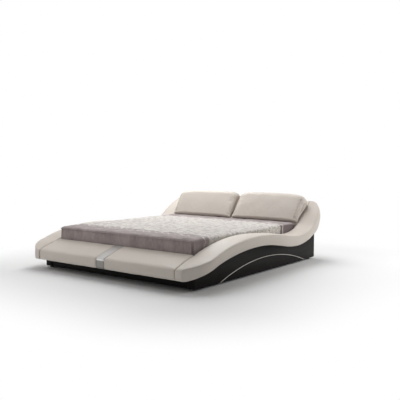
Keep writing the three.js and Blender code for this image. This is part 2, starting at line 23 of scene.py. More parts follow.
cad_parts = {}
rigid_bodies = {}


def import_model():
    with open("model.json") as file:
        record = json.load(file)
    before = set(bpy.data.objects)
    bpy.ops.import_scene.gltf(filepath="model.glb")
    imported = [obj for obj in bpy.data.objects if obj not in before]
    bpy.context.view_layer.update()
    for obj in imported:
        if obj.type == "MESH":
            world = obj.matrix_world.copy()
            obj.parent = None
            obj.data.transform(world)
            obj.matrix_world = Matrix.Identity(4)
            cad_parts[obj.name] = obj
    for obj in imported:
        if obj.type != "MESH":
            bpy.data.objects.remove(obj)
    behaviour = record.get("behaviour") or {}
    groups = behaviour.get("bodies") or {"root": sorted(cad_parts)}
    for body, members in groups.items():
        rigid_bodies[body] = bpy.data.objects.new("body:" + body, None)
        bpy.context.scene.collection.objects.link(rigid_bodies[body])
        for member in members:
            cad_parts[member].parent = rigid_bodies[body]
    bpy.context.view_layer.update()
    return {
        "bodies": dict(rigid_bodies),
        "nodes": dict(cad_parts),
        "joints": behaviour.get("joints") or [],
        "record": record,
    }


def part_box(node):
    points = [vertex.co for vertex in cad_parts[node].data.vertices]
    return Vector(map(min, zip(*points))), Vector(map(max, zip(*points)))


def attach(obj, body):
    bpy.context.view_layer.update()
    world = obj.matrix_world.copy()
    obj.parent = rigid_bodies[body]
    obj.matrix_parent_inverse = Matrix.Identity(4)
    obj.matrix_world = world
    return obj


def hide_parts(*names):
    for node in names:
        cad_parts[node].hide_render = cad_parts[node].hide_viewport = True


Array = np.ndarray
Material = bpy.types.Material
Node = bpy.types.Node
Piece = bpy.types.Object
Socket = bpy.types.NodeSocket
Pair = tuple[float, float]
Triple = tuple[float, float, float]
Colour = Triple
Faces = list[tuple[int, ...]]

log = logging.getLogger("leather_bed")

WAVES = 7  # crossing waves in an uneven relief
CORD_SIDES = 10
THREAD_SIDES = 5
# Rings of a stitch: place along it, size and height, as shares of its length and radius.
STITCH_ROWS = ((0.0, 0.35, 0.1), (0.28, 1.0, 0.7), (0.72, 1.0, 0.7), (1.0, 0.35, 0.1))
STATION_STEP = 0.0075  # longest step along a rail
PAD_RINGS, STRAP_RINGS, HEADREST_RINGS = 110, 34, 96
PAD_POINTS, THREAD_POINTS = 72, 110  # points over the bench's front, and of its threads
LOOP_RAYS, LOOP_POINTS = 400, 260  # found and kept points of a seam round a headrest
LAMP_AIM = (0.0, 0.0, 0.3)
FLOOR_REACH = 30.0


# Choices


class Side(Enum):
    """The two sides of the bed, with the sign of X on each."""

    RIGHT = 1
    LEFT = -1

    @property
    def word(self) -> str:
        """Name of the side as pieces use it."""
        return self.name.lower()


class Slot(Enum):
    """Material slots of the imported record."""

    LEATHER = "leather"
    BLACK_LEATHER = "black_leather"
    STRAP = "strap"
    PIPING = "piping"
    MATTRESS = "mattress"
    TIMBER = "timber"
    BOARD = "board"
    STEEL = "steel"
    GLIDE = "glide"


class Body(Enum):
    """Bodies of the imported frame."""

    FRAME = "frame"
    MATTRESS = "mattress"
    HEADREST_RIGHT = "headrest_right"
    HEADREST_LEFT = "headrest_left"


# Shader maths


class Signal:
    """A number socket of a shader on which sums are written as Python expressions."""

    def __init__(self, bench: ShaderBench, socket: Socket) -> None:
        """Wraps an output socket that carries a number."""
        self.bench = bench
        self.socket = socket

    def __add__(self, other: Signal | float) -> Signal:
        """Sum."""
        return self.bench.maths("ADD", self, other)

    __radd__ = __add__

    def __sub__(self, other: Signal | float) -> Signal:
        """Difference."""
        return self.bench.maths("SUBTRACT", self, other)

    def __rsub__(self, other: float) -> Signal:
        """Difference from a number."""
        return self.bench.maths("SUBTRACT", other, self)

    def __mul__(self, other: Signal | float) -> Signal:
        """Product."""
        return self.bench.maths("MULTIPLY", self, other)

    __rmul__ = __mul__

    def __pow__(self, other: float) -> Signal:
        """Power."""
        return self.bench.maths("POWER", self, other)

    def sine(self) -> Signal:
        """Sine of the number in radians."""
        return self.bench.maths("SINE", self)

    def size(self) -> Signal:
        """Number without its sign."""
        return self.bench.maths("ABSOLUTE", self)

    def least(self, other: Signal | float) -> Signal:
        """Smaller of two numbers."""
        return self.bench.maths("MINIMUM", self, other)

    def most(self, other: Signal | float) -> Signal:
        """Larger of two numbers."""
        return self.bench.maths("MAXIMUM", self, other)

    def rise(self, start: float, end: float) -> Signal:
        """Smooth step from 0 to 1.

        Args:
            start: Number where the step starts.
            end: Number where it ends.

        Returns:
            Height of the step.
        """
        node = self.bench.node(
            "ShaderNodeMapRange",
            {"interpolation_type": "SMOOTHSTEP"},
            {"Value": self, "From Min": start, "From Max": end},
        )
        return Signal(self.bench, node.outputs["Result"])

    def between(self, low: float, high: float, soft: float) -> Signal:
        """Mask that is 1 between two values, with edges as wide as soft."""
        half = soft / 2
        return self.rise(low - half, low + half) * (1 - self.rise(high - half, high + half))


class ShaderBench:
    """The nodes of one material or world, made and linked one by one."""

    def __init__(self, name: str, shelf: Any = None) -> None:
        """Starts an empty material or world.

        Args:
            name: Its name.
            shelf: Where Blender keeps its kind, the materials if none is given.
        """
        self.owner = (bpy.data.materials if shelf is None else shelf).new(name)
        self.owner.use_nodes = True
        self.tree = self.owner.node_tree
        self.tree.nodes.clear()

    def node(
        self,
        kind: str,
        settings: dict[str, Any] | None = None,
        inputs: dict[str | int, Any] | None = None,
    ) -> Node:
        """Makes one node.

        Args:
            kind: Type of the node.
            settings: Its options, set before the sockets.
            inputs: Values or links of its sockets by name or place.

        Returns:
            The new node.
        """
        made = self.tree.nodes.new(kind)
        for option, value in (settings or {}).items():
            setattr(made, option, value)
        for key, value in (inputs or {}).items():
            self._feed(made.inputs[key], value)
        return made

    def _feed(self, socket: Socket, value: Any) -> None:
        """Links or sets one input socket.

        Args:
            socket: The input socket.
            value: A Signal, an output socket, a number or a tuple.
        """
        if isinstance(value, Signal):
            self.tree.links.new(value.socket, socket)
        elif isinstance(value, Socket):
            self.tree.links.new(value, socket)
        elif isinstance(value, tuple) and len(socket.default_value) > len(value):
            socket.default_value = (*value, 1.0)
        else:
            socket.default_value = value

    def maths(self, operation: str, first: Any, second: Any = None) -> Signal:
        """Result of one Math node on one or two values or links."""
        inputs = {0: first} if second is None else {0: first, 1: second}
        made = self.node("ShaderNodeMath", {"operation": operation}, inputs)
        return Signal(self, made.outputs["Value"])

    def vector(self, operation: str, *inputs: Any) -> Socket:
        """Result of one Vector Math node on up to three values or links."""
        made = self.node("ShaderNodeVectorMath", {"operation": operation}, dict(enumerate(inputs)))
        return made.outputs["Vector"]

    def place(self) -> Socket:
        """Object coordinates, which are metres in the bed's frame."""
        return self.node("ShaderNodeTexCoord").outputs["Object"]

    def split(self, vector: Socket) -> tuple[Signal, Signal, Signal]:
        """The three numbers of a vector."""
        made = self.node("ShaderNodeSeparateXYZ", None, {0: vector})
        return tuple(Signal(self, made.outputs[axis]) for axis in "XYZ")

    def join(self, x: Any, y: Any, z: Any) -> Socket:
        """A vector from three numbers."""
        made = self.node("ShaderNodeCombineXYZ", None, {0: x, 1: y, 2: z})
        return made.outputs["Vector"]

    def stretched(self, vector: Socket, factors: Triple) -> Socket:
        """A vector multiplied on each axis."""
        return self.vector("MULTIPLY", vector, factors)

    def shaken(self, vector: Socket, scale: float, reach: float) -> Socket:
        """Moves a vector about by noise, so that a pattern loses its straight lines.

        Args:
            vector: Place to move.
            scale: Scale of the noise.
            reach: How far the noise moves it, in metres.

        Returns:
            The moved place.
        """
        wobble = self.node("ShaderNodeTexNoise", None, {"Vector": vector, "Scale": scale})
        centred = self.vector("SUBTRACT", wobble.outputs["Color"], (0.5, 0.5, 0.5))
        return self.vector("MULTIPLY_ADD", centred, (reach, reach, reach), vector)

    def noise(self, vector: Socket, scale: float, detail: float = 3.0) -> Signal:
        """Noise from 0 to 1.

        Args:
            vector: Place in the pattern.
            scale: Features in a metre.
            detail: Finer layers in the noise.

        Returns:
            The noise.
        """
        made = self.node(
            "ShaderNodeTexNoise", None, {"Vector": vector, "Scale": scale, "Detail": detail}
        )
        return Signal(self, made.outputs["Fac"])

    def cells(self, vector: Socket, scale: float) -> Signal:
        """Pattern of cells.

        Args:
            vector: Place in the pattern.
            scale: Cells in a metre.

        Returns:
            Distance to the nearest edge of a cell.
        """
        made = self.node(
            "ShaderNodeTexVoronoi",
            {"feature": "DISTANCE_TO_EDGE"},
            {"Vector": vector, "Scale": scale},
        )
        return Signal(self, made.outputs["Distance"])

    def mix(self, first: Any, second: Any, share: Any) -> Socket:
        """Blends two colours, the first at a share of 0 and the second at 1."""
        made = self.node("ShaderNodeMix", {"data_type": "RGBA"}, {0: share, 6: first, 7: second})
        return made.outputs[2]

    def seen(self) -> Signal:
        """1 for rays that the camera sends out, also by mirrors and glass, and 0 for others."""
        path = self.node("ShaderNodeLightPath")
        camera, glossy, clear = (
            Signal(self, path.outputs[f"Is {kind} Ray"])
            for kind in ("Camera", "Glossy", "Transmission")
        )
        return camera.most(glossy).most(clear)

    def bump(self, height: Signal, depth: float, normal: Socket | None = None) -> Socket:
        """Relief from a height.

        Args:
            height: Height from 0 to 1.
            depth: Depth of the relief in metres.
            normal: A coarser relief that this one lies on.

        Returns:
            The normal.
        """
        inputs: dict[str | int, Any] = {"Height": height, "Distance": depth}
        if normal is not None:
            inputs["Normal"] = normal
        return self.node("ShaderNodeBump", None, inputs).outputs["Normal"]

    def ended(self, output: str, shader: Node) -> Any:
        """The finished material or world, with an output of the given kind."""
        self.node(output, None, {"Surface": shader.outputs[0]})
        return self.owner

    def surface(self, inputs: dict[str | int, Any]) -> Material:
        """The finished material with one Principled shader."""
        shader = self.node("ShaderNodeBsdfPrincipled", None, inputs)
        return self.ended("ShaderNodeOutputMaterial", shader)

    def blended(self, output: str, share: Signal, first: Node, second: Node) -> Any:
        """The finished material or world with two shaders, the second at a share of 1."""
        shaders = {0: share, 1: first.outputs[0], 2: second.outputs[0]}
        return self.ended(output, self.node("ShaderNodeMixShader", None, shaders))


def rgb(red: int, green: int, blue: int) -> Colour:
    """Linear colour of a display colour.

    Args:
        red: Red from 0 to 255.
        green: Green from 0 to 255.
        blue: Blue from 0 to 255.

    Returns:
        The three linear shares.
    """
    shares = np.array([red, green, blue]) / 255
    low = shares / 12.92
    high = ((shares + 0.055) / 1.055) ** 2.4
    return tuple(float(c) for c in np.where(shares <= 0.04045, low, high))


# Finishes


@dataclass(frozen=True)
class GrainedLeather:
    """Corrected leather with a fine pebble grain, slightly darker in its creases.

    Attributes:
        name: Name of the material.
        colour: Colour of the face.
        shade: Colour that large soft patches tend to.
        roughness: Mean roughness.
        grain: Grain cells in a metre.
        depth: Depth of the grain in metres.
        shine: Strength of its reflections, 0.5 for plain leather.
    """

    name: str
    colour: Colour
    shade: Colour
    roughness: float = 0.5
    grain: float = 620.0
    depth: float = 0.00022
    shine: float = 0.5

    def material(self) -> Material:
        """Builds the material."""
        bench = ShaderBench(self.name)
        place = bench.place()
        pebbled = bench.shaken(place, self.grain * 0.6, 0.5 / self.grain)
        pebble = bench.cells(pebbled, self.grain)
        crease = pebble.rise(0.0, 0.16)
        coarse = bench.noise(place, 26.0, 4.0)
        patch = bench.noise(place, 3.4, 3.0)
        pores = bench.noise(place, self.grain * 2.2, 2.0)
        face = bench.mix(self.colour, self.shade, patch.rise(0.35, 0.72) * 0.6)
        dark = tuple(c * 0.86 for c in self.colour)
        tinted = bench.mix(dark, face, crease * 0.55 + 0.45)
        gloss = self.roughness - 0.05 + 0.07 * coarse + 0.06 * (1 - crease)
        soft = bench.bump(coarse, 0.0012)
        height = crease * 0.75 + pores * 0.25
        return bench.surface(
            {
                "Base Color": tinted,
                "Roughness": gloss,
                "Specular IOR Level": self.shine,
                "Normal": bench.bump(height, self.depth, soft),
            }
        )


@dataclass(frozen=True)
class BrushedStrap:
    """Silver-coated leather: fine crackle, lengthwise rub marks, painted shade on its front, a
    painted highlight on its glossier bend.

    Attributes:
        colour: Colour on top.
        worn: Colour where the coating is rubbed.
        front_shade: Darker colour painted on the front, below the bend, as shade.
        bend_highlight: Near-white colour painted on the bend as a highlight.
        bend: Heights between which the strap bends.
        grain: Depth of its grain.
    """

    colour: Colour
    worn: Colour
    front_shade: Colour
    bend_highlight: Colour
    bend: Pair = (0.207, 0.222)
    grain: float = 0.00025

    def material(self) -> Material:
        """Builds the material."""
        bench = ShaderBench("silver_strap_leather")
        place = bench.place()
        pebble = bench.cells(bench.shaken(place, 380.0, 0.0012), 640.0).rise(0.0, 0.2)
        rubbed = bench.noise(bench.stretched(place, (9.0, 1.0, 1.0)), 30.0, 5.0)
        patch = bench.noise(place, 22.0, 4.0)
        wear = (rubbed * 0.6 + patch * 0.4).rise(0.42, 0.66)
        _, _, height = bench.split(place)
        # Painted shade: below the bend the front is given a darker colour.
        above = height.rise(self.bend[0] - 0.006, self.bend[0] + 0.002)
        flat = bench.mix(self.colour, self.worn, wear * 0.8)
        face = bench.mix(self.front_shade, flat, above)
        # Painted highlight: the bend is given a near-white colour.
        on_bend = height.between(self.bend[0], self.bend[1], 0.005)
        return bench.surface(
            {
                "Base Color": bench.mix(face, self.bend_highlight, on_bend * 0.85),
                "Roughness": 0.36 + 0.12 * rubbed + 0.06 * (1 - pebble) - 0.12 * on_bend,
                "Metallic": 0.12 + 0.1 * (1 - wear),
                "Coat Weight": 0.35,
                "Coat Roughness": 0.16,
                "Normal": bench.bump(pebble * 0.7 + rubbed * 0.3, self.grain),
            }
        )


@dataclass(frozen=True)
class TickingFabric:
    """Mattress cover: a flowered woven ticking between borders of brushed velour.

    Attributes:
        ground: Colour of the ticking's ground.
        cloud: Colour that soft patches of the ground tend to.
        flower: Colour of its flowers and leaves.
        velour: Colour of the velour borders.
        velour_dark: Colour of the velour where its pile lies the other way.
        velour_painted_shade: Darker velour colour painted on as shade on the sides at the head and
            foot and on the top by the headrests.
        foot: Y of the mattress's foot end in the frame.
        side_top: Heights between which the sides pass into the top.
        panel: Start and end of the flowered panel, from the foot end.
        foot_band: Start and end of the pale band at the foot.
        head_band: Start and end of the pale band at the head.
        scallop: Length of a wave in the edges of panel and foot band.
        weave: Distance from thread to thread, along and across.
    """

    ground: Colour
    cloud: Colour
    flower: Colour
    velour: Colour
    velour_dark: Colour
    velour_painted_shade: Colour
    foot: float
    side_top: Pair = (0.452, 0.464)
    panel: Pair = (0.262, 1.668)
    foot_band: Pair = (0.182, 0.204)
    head_band: Pair = (1.719, 1.737)
    scallop: float = 0.088
    weave: Pair = (0.0016, 0.0013)

    def material(self) -> Material:
        """Builds the material, with weave and motif in metres."""
        bench = ShaderBench("mattress_cover")
        place = bench.place()
        x, y, z = bench.split(place)
        across = x.size() + z
        along = y - self.foot
        on_side = 1 - z.rise(*self.side_top)
        wave = (across * (2 * math.pi / self.scallop)).sine()
        flowered = (along + 0.011 * wave).between(*self.panel, 0.008)
        torn = bench.noise(place, 70.0, 3.0) - 0.5
        foot_band = (along + 0.013 * wave + 0.05 * torn).between(*self.foot_band, 0.008)
        foot_band = foot_band * (0.85 - 0.5 * on_side)
        bands = foot_band.most(along.between(*self.head_band, 0.004))
        pale = flowered.most(bands)
        motif = self._flowers(bench, across, along) * flowered * (0.34 + 0.48 * on_side)
        rows = (along * (2 * math.pi / self.weave[0])).sine() * 0.5 + 0.5
        threads = (across * (2 * math.pi / self.weave[1])).sine() * 0.5 + 0.5
        weave = rows * 0.5 + threads * 0.5
        pile = bench.noise(bench.stretched(place, (1.0, 1.0, 0.5)), 40.0, 4.0)
        lay = bench.noise(bench.stretched(place, (1.0, 1.0, 0.6)), 9.0, 3.0)
        brushed = (pile * 0.4 + lay * 0.6).rise(0.3, 0.7)
        velour = bench.mix(self.velour_dark, self.velour, brushed)
        # Painted shade: the velour darkens on the sides at the head, a little on the sides at the
        # foot and on the top next to the headrests.
        at_foot = (1 - along.rise(0.17, 0.3)) * x.size().rise(0.945, 0.957)
        on_sides = (along.rise(1.64, 1.7) * 0.85).most(at_foot * 0.3) * on_side
        painted_shade = on_sides.most(along.rise(1.74, 1.8) * 0.32)
        velour = bench.mix(velour, self.velour_painted_shade, painted_shade)
        cloud = bench.noise(bench.stretched(place, (1.0, 1.6, 1.0)), 15.0, 3.0).rise(0.42, 0.62)
        ground = bench.mix(self.ground, self.cloud, cloud * (1 - 0.6 * on_side))
        ticking = bench.mix(ground, self.flower, motif)
        woven = bench.mix(ticking, tuple(c * 0.8 for c in self.ground), (1 - weave) * 0.12)
        fine = bench.noise(place, 900.0, 2.0)
        relief = (weave * 0.3 + motif * 0.7) * pale + (fine * 0.6 + pile * 0.4) * (1 - pale)
        return bench.surface(
            {
                "Base Color": bench.mix(velour, woven, pale),
                "Roughness": 0.9 - 0.16 * motif - 0.08 * (1 - brushed) * (1 - pale),
                "Specular IOR Level": 0.2,
                "Sheen Weight": 0.4,
                "Sheen Roughness": 0.5,
                "Normal": bench.bump(relief, 0.0008),
            }
        )

    def _flowers(self, bench: ShaderBench, across: Signal, along: Signal) -> Signal:
        """Generic open flowers with leafy sprigs between them.

        Args:
            bench: Nodes of the material.
            across: Place across the cover in metres.
            along: Place along the cover in metres.

        Returns:
            A mask that is 1 on flowers and leaves.
        """
        flat = bench.join(across, along, 0.0)
        soft = bench.shaken(flat, 16.0, 0.016)
        scale = 15.0
        cell = bench.node(
            "ShaderNodeTexVoronoi",
            {"feature": "F1", "voronoi_dimensions": "2D"},
            {"Vector": soft, "Scale": scale, "Randomness": 0.7},
        )
        u, v, _ = bench.split(bench.vector("SUBTRACT", soft, cell.outputs["Position"]))
        angle = bench.maths("ARCTAN2", v, u)
        radius = (u * u + v * v) ** 0.5 * scale
        petal = (angle * 5.0).sine() * 0.11 + 0.27
        outline = 1 - (radius - petal).size().rise(0.012, 0.055)
        veins = 1 - (angle * 10.0).sine().size().rise(0.05, 0.4)
        inside = 1 - (radius - petal).rise(-0.03, 0.0)
        heart = 1 - radius.rise(0.05, 0.085)
        flower = outline.most(veins * inside * 0.55).most(heart)
        stems = bench.cells(bench.shaken(flat, 22.0, 0.03), 19.0)
        sprig = (1 - stems.rise(0.012, 0.04)) * bench.noise(flat, 9.0, 1.0).rise(0.48, 0.56)
        leaves = bench.noise(flat, 48.0, 1.0).rise(0.6, 0.64) * radius.rise(0.38, 0.46)
        return flower.most(sprig * 0.8).most(leaves * 0.85).least(1.0)


@dataclass(frozen=True)
class SawnTimber:
    """Planed softwood with a long grain across the bed or along it.

    Attributes:
        name: Name of the material.
        early: Colour of the pale wood.
        late: Colour of the dark rings.
        grain: How much the pattern is squeezed on each axis, least along the grain.
    """

    name: str
    early: Colour
    late: Colour
    grain: Triple = (0.6, 9.0, 9.0)

    def material(self) -> Material:
        """Builds the material."""
        bench = ShaderBench(self.name)
        place = bench.place()
        fibre = bench.stretched(bench.shaken(place, 4.0, 0.02), self.grain)
        rings = (bench.noise(fibre, 5.0, 2.0) * 46.0).sine() * 0.5 + 0.5
        streak = bench.noise(bench.stretched(fibre, (1.0, 6.0, 6.0)), 9.0, 4.0)
        grain = (rings * 0.6 + streak * 0.4).rise(0.25, 0.8)
        return bench.surface(
            {
                "Base Color": bench.mix(self.early, self.late, grain),
                "Roughness": 0.62 + 0.14 * streak,
                "Normal": bench.bump(grain * 0.4 + streak * 0.6, 0.00035),
            }
        )


@dataclass(frozen=True)
class HardSurface:
    """A plain hard finish, such as plated steel, moulded plastic or lining board.

    Attributes:
        name: Name of the material.
        colour: Colour of the face.
        marked: Colour of its soft marks.
        roughness: Mean roughness.
        metal: 1 for metal, else 0.
        texture: Features of its fine texture in a metre.
        stretch: How much the texture is squeezed on each axis.
        depth: Depth of the texture in metres.
    """

    name: str
    colour: Colour
    marked: Colour
    roughness: float
    metal: float = 0.0
    texture: float = 240.0
    stretch: Triple = (1.0, 1.0, 1.0)
    depth: float = 0.0001

    def material(self) -> Material:
        """Builds the material."""
        bench = ShaderBench(self.name)
        place = bench.stretched(bench.place(), self.stretch)
        fine = bench.noise(place, self.texture, 3.0)
        broad = bench.noise(place, self.texture / 12, 3.0)
        mark = (fine * 0.5 + broad * 0.5).rise(0.4, 0.7)
        return bench.surface(
            {
                "Base Color": bench.mix(self.colour, self.marked, mark),
                "Roughness": self.roughness + 0.16 * (fine - 0.5),
                "Metallic": self.metal,
                "Normal": bench.bump(fine, self.depth),
            }
        )


@dataclass(frozen=True)
class StudioFloor:
    """White floor that keeps the bed's shadow and fades into a white background.

    Attributes:
        half: Half the width and length of the part under the bed, which doesn't fade.
        far: Distance from that part at which the floor is all white.
        whiteness: How much light it throws back.
    """

    half: Pair = (1.12, 1.3)
    far: float = 1.62
    whiteness: float = 0.93

    def material(self) -> Material:
        """Builds the material."""
        bench = ShaderBench("studio_floor")
        x, y, _ = bench.split(bench.place())
        past_side = (x.size() - self.half[0]).most(0.0)
        past_end = (y.size() - self.half[1]).most(0.0)
        reach = (past_side * past_side + past_end * past_end) ** 0.5
        tone = (self.whiteness, self.whiteness, self.whiteness)
        matt = bench.node("ShaderNodeBsdfDiffuse", None, {"Color": tone})
        glow = bench.node("ShaderNodeEmission", None, {"Color": (1.0, 1.0, 1.0)})
        share = bench.seen() * reach.rise(0.0, self.far)
        return bench.blended("ShaderNodeOutputMaterial", share, matt, glow)


class FinishSet:
    """Every material of the bed, made once."""

    def __init__(self, foot: float) -> None:
        """Builds the materials.

        Args:
            foot: Y of the mattress's foot end in the frame.
        """
        self.leather = GrainedLeather(
            "greige_leather", rgb(216, 207, 197), rgb(211, 201, 190)
        ).material()
        self.thread = GrainedLeather(
            "greige_thread",
            rgb(188, 176, 163),
            rgb(180, 168, 155),
            roughness=0.62,
            grain=2600.0,
            depth=0.0001,
        ).material()
        self.black = GrainedLeather(
            "black_leather",
            (0.0094, 0.0085, 0.0076),
            (0.0125, 0.0114, 0.0103),
            roughness=0.46,
            grain=520.0,
            shine=0.08,
        ).material()
        self.piping = GrainedLeather(
            "pale_piping",
            rgb(236, 231, 223),
            rgb(230, 224, 214),
            roughness=0.4,
            grain=1400.0,
            depth=0.0001,
        ).material()
        self.strap = BrushedStrap(
            rgb(186, 183, 180),
            rgb(194, 190, 186),
            front_shade=rgb(146, 144, 138),
            bend_highlight=rgb(240, 240, 238),
        ).material()
        self.ticking = TickingFabric(
            ground=rgb(233, 229, 221),
            cloud=rgb(203, 192, 190),
            flower=rgb(92, 86, 89),
            velour=rgb(180, 166, 165),
            velour_dark=rgb(148, 135, 134),
            velour_painted_shade=rgb(112, 98, 100),
            foot=foot,
        ).material()
        self.timber = SawnTimber("slat_timber", rgb(222, 196, 156), rgb(193, 158, 112)).material()
        self.beam = SawnTimber(
            "beam_timber", rgb(214, 186, 146), rgb(184, 148, 104), grain=(9.0, 0.6, 9.0)
        ).material()
        self.board = HardSurface("lining_board", rgb(52, 48, 44), rgb(70, 64, 58), 0.75).material()
        self.steel = HardSurface(
            "zinc_plated_steel",
            rgb(182, 184, 188),
            rgb(160, 162, 166),
            0.32,
            metal=1.0,
            stretch=(1.0, 6.0, 6.0),
        ).material()
        self.glide = HardSurface(
            "black_glide", (0.012, 0.012, 0.012), (0.02, 0.02, 0.02), 0.42, texture=700.0
        ).material()


# Shapes


@dataclass(frozen=True)
class Form:
    """Points and faces of a mesh that isn't made yet."""

    points: Array
    faces: Faces

    def across(self, side: Side) -> Form:
        """The same form on one side, mirrored across the bed for the left."""
        if side is Side.RIGHT:
            return self
        return Form(self.points * np.array([-1.0, 1.0, 1.0]), [f[::-1] for f in self.faces])

    def mapped(self, way: Callable[[Array], Array], side: Side) -> Form:
        """The form with its points moved by a function, then put on one side of the bed."""
        return Form(way(self.points), self.faces).across(side)

    @staticmethod
    def gathered(forms: Sequence[Form]) -> Form:
        """Several forms as one.

        Args:
            forms: The forms, which stay apart in the mesh.

        Returns:
            One form.
        """
        faces: Faces = []
        start = 0
        for form in forms:
            faces.extend(tuple(i + start for i in face) for face in form.faces)
            start += len(form.points)
        return Form(np.concatenate([form.points for form in forms]), faces)


def unit(vectors: Array) -> Array:
    """Vectors of the same directions with a length of 1."""
    return vectors / np.maximum(np.linalg.norm(vectors, axis=-1, keepdims=True), 1e-9)


def uneven(points: Array, length: float, seed: int) -> Array:
    """Soft irregular relief from a few crossing waves.

    Args:
        points: Places in metres, one row each.
        length: Typical wavelength in metres.
        seed: Choice of the waves.

    Returns:
        A number from about -1 to 1 for each place.
    """
    rng = np.random.default_rng(seed)
    ways = unit(rng.normal(size=(WAVES, 3)))
    lengths = length * rng.uniform(0.65, 1.6, WAVES)
    phases = rng.uniform(0, 2 * math.pi, WAVES)
    total = np.zeros(points.shape[:-1])
    for way, wavelength, phase in zip(ways, lengths, phases, strict=True):
        total += np.sin(points @ way * (2 * math.pi / wavelength) + phase)
    return total / math.sqrt(WAVES)


@dataclass(frozen=True)
class SeamRelief:
    """Valley of a stitched seam, with puckers in the leather beside it.

    Attributes:
        depth: Depth of the valley.
        width: Half its width.
        pucker: Height of the puckers.
        pitch: Typical distance from one pucker to the next along the seam.
        reach: Distance from the seam at which they have fallen by two thirds.
        squeeze: How much of a pucker's change along X is kept; low values draw it out.
    """

    depth: float
    width: float
    pucker: float
    pitch: float
    reach: float
    squeeze: float = 1.0

    def at(self, points: Array, away: Array, seed: int) -> Array:
        """Height of the relief.

        Args:
            points: Places in metres, one row each.
            away: Distance of each from the seam.
            seed: Choice of the puckers.

        Returns:
            A height for each place.
        """
        squeezed = points * np.array([self.squeeze, 1.0, 1.0])
        puckers = self.pucker * uneven(squeezed, self.pitch, seed) * np.exp(-away / self.reach)
        return puckers - self.depth * np.exp(-((away / self.width) ** 2))


def padding(points: Array, swells: Pair, dents: Pair, seed: int) -> Array:
    """Relief of padding, from slow swells and fine dents with a height and a length each."""
    slow = swells[0] * uneven(points, swells[1], seed)
    return slow + dents[0] * uneven(points, dents[1], seed + 1)


def travelled(path: Array) -> Array:
    """Distance along a path at each of its points."""
    steps = np.linalg.norm(np.diff(path, axis=0), axis=1)
    return np.concatenate([[0.0], np.cumsum(steps)])


def read_at(places: Array, lengths: Array, values: Array) -> Array:
    """Rows of values, known at some lengths along a path, read at other places."""
    return np.stack([np.interp(places, lengths, column) for column in values.T], 1)


def resampled(path: Array, count: int) -> Array:
    """Points evenly spaced by length along a path.

    Args:
        path: Points of the path, with more numbers in their rows if these should be read too.
        count: How many points to take.

    Returns:
        The new rows, ends included.
    """
    lengths = travelled(path[:, :3])
    return read_at(np.linspace(0, lengths[-1], count), lengths, path)


def smooth_line(points: Array, steps: int) -> Array:
    """Curve through points, with tangents from each point's neighbours.

    Args:
        points: Points that the curve passes through.
        steps: Steps in each span.

    Returns:
        Points of the curve.
    """
    padded = np.concatenate([points[:1], points, points[-1:]])
    t = np.linspace(0, 1, steps, endpoint=False)[:, None]
    spans = []
    for p, q, r, s in zip(padded, padded[1:], padded[2:], padded[3:], strict=False):
        a, b = (r - p) / 2, (s - q) / 2
        spans.append(
            (2 * q - 2 * r + a + b) * t**3 + (3 * r - 3 * q - 2 * a - b) * t**2 + a * t + q
        )
    return np.concatenate([*spans, points[-1:]])


def arc(centre: Pair, radius: float, turn: Pair, steps: int) -> Array:
    """Points of a flat arc from one angle to another, ends included."""
    angles = np.linspace(*turn, steps + 1)
    return np.stack([centre[0] + radius * np.cos(angles), centre[1] + radius * np.sin(angles)], 1)


def straight(start: Sequence[float], end: Sequence[float], steps: int) -> Array:
    """Points of a straight line, without its ends."""
    shares = np.linspace(0, 1, steps + 1)[1:-1, None]
    return np.array(start) * (1 - shares) + np.array(end) * shares


def grid_normals(grid: Array) -> Array:
    """Outward unit normals of rings of points.

    Args:
        grid: Points as rings, sections and coordinates.

    Returns:
        A normal for each point.
    """
    along = np.gradient(grid, axis=0)
    around = np.roll(grid, -1, axis=1) - np.roll(grid, 1, axis=1)
    normals = unit(np.cross(along, around))
    middle = len(grid) // 2
    ring = grid[middle]
    outward = float(((ring - ring.mean(0)) * normals[middle]).sum())
    return normals if outward > 0 else -normals


def skin(grid: Array, bulges: Pair = (0.0, 0.0), rounds: int = 5) -> Form:
    """Closed form through rings of points, with a soft cap on each end.

    Args:
        grid: Points as rings, sections and coordinates.
        bulges: How far each end's middle stands out, in metres.
        rounds: Rings in each cap.

    Returns:
        The closed form.
    """
    caps = []
    for edge, neighbour, bulge in ((grid[0], grid[1], bulges[0]), (grid[-1], grid[-2], bulges[1])):
        centre = edge.mean(0)
        area = np.cross(edge - centre, np.roll(edge, -1, 0) - centre).sum(0)
        way = area / max(float(np.linalg.norm(area)), 1e-12)
        way = -way if float(way @ (neighbour.mean(0) - centre)) > 0 else way
        turns = [step / rounds * math.pi / 2 for step in range(1, rounds)]
        cap = [centre + (edge - centre) * math.cos(t) + way * bulge * math.sin(t) for t in turns]
        caps.append([*cap, (centre + way * bulge)[None]])
    rings = [*caps[0][::-1], *grid, *caps[1]]
    count, total = grid.shape[1], len(rings)
    points = np.concatenate(rings)
    faces: Faces = []
    for i in range(count):
        j = (i + 1) % count
        faces.append((0, 1 + j, 1 + i))
        for ring in range(total - 3):
            a, b = 1 + ring * count, 1 + (ring + 1) * count
            faces.append((a + i, a + j, b + j, b + i))
        last = 1 + (total - 3) * count
        faces.append((last + i, last + j, len(points) - 1))
    return Form(points, faces)


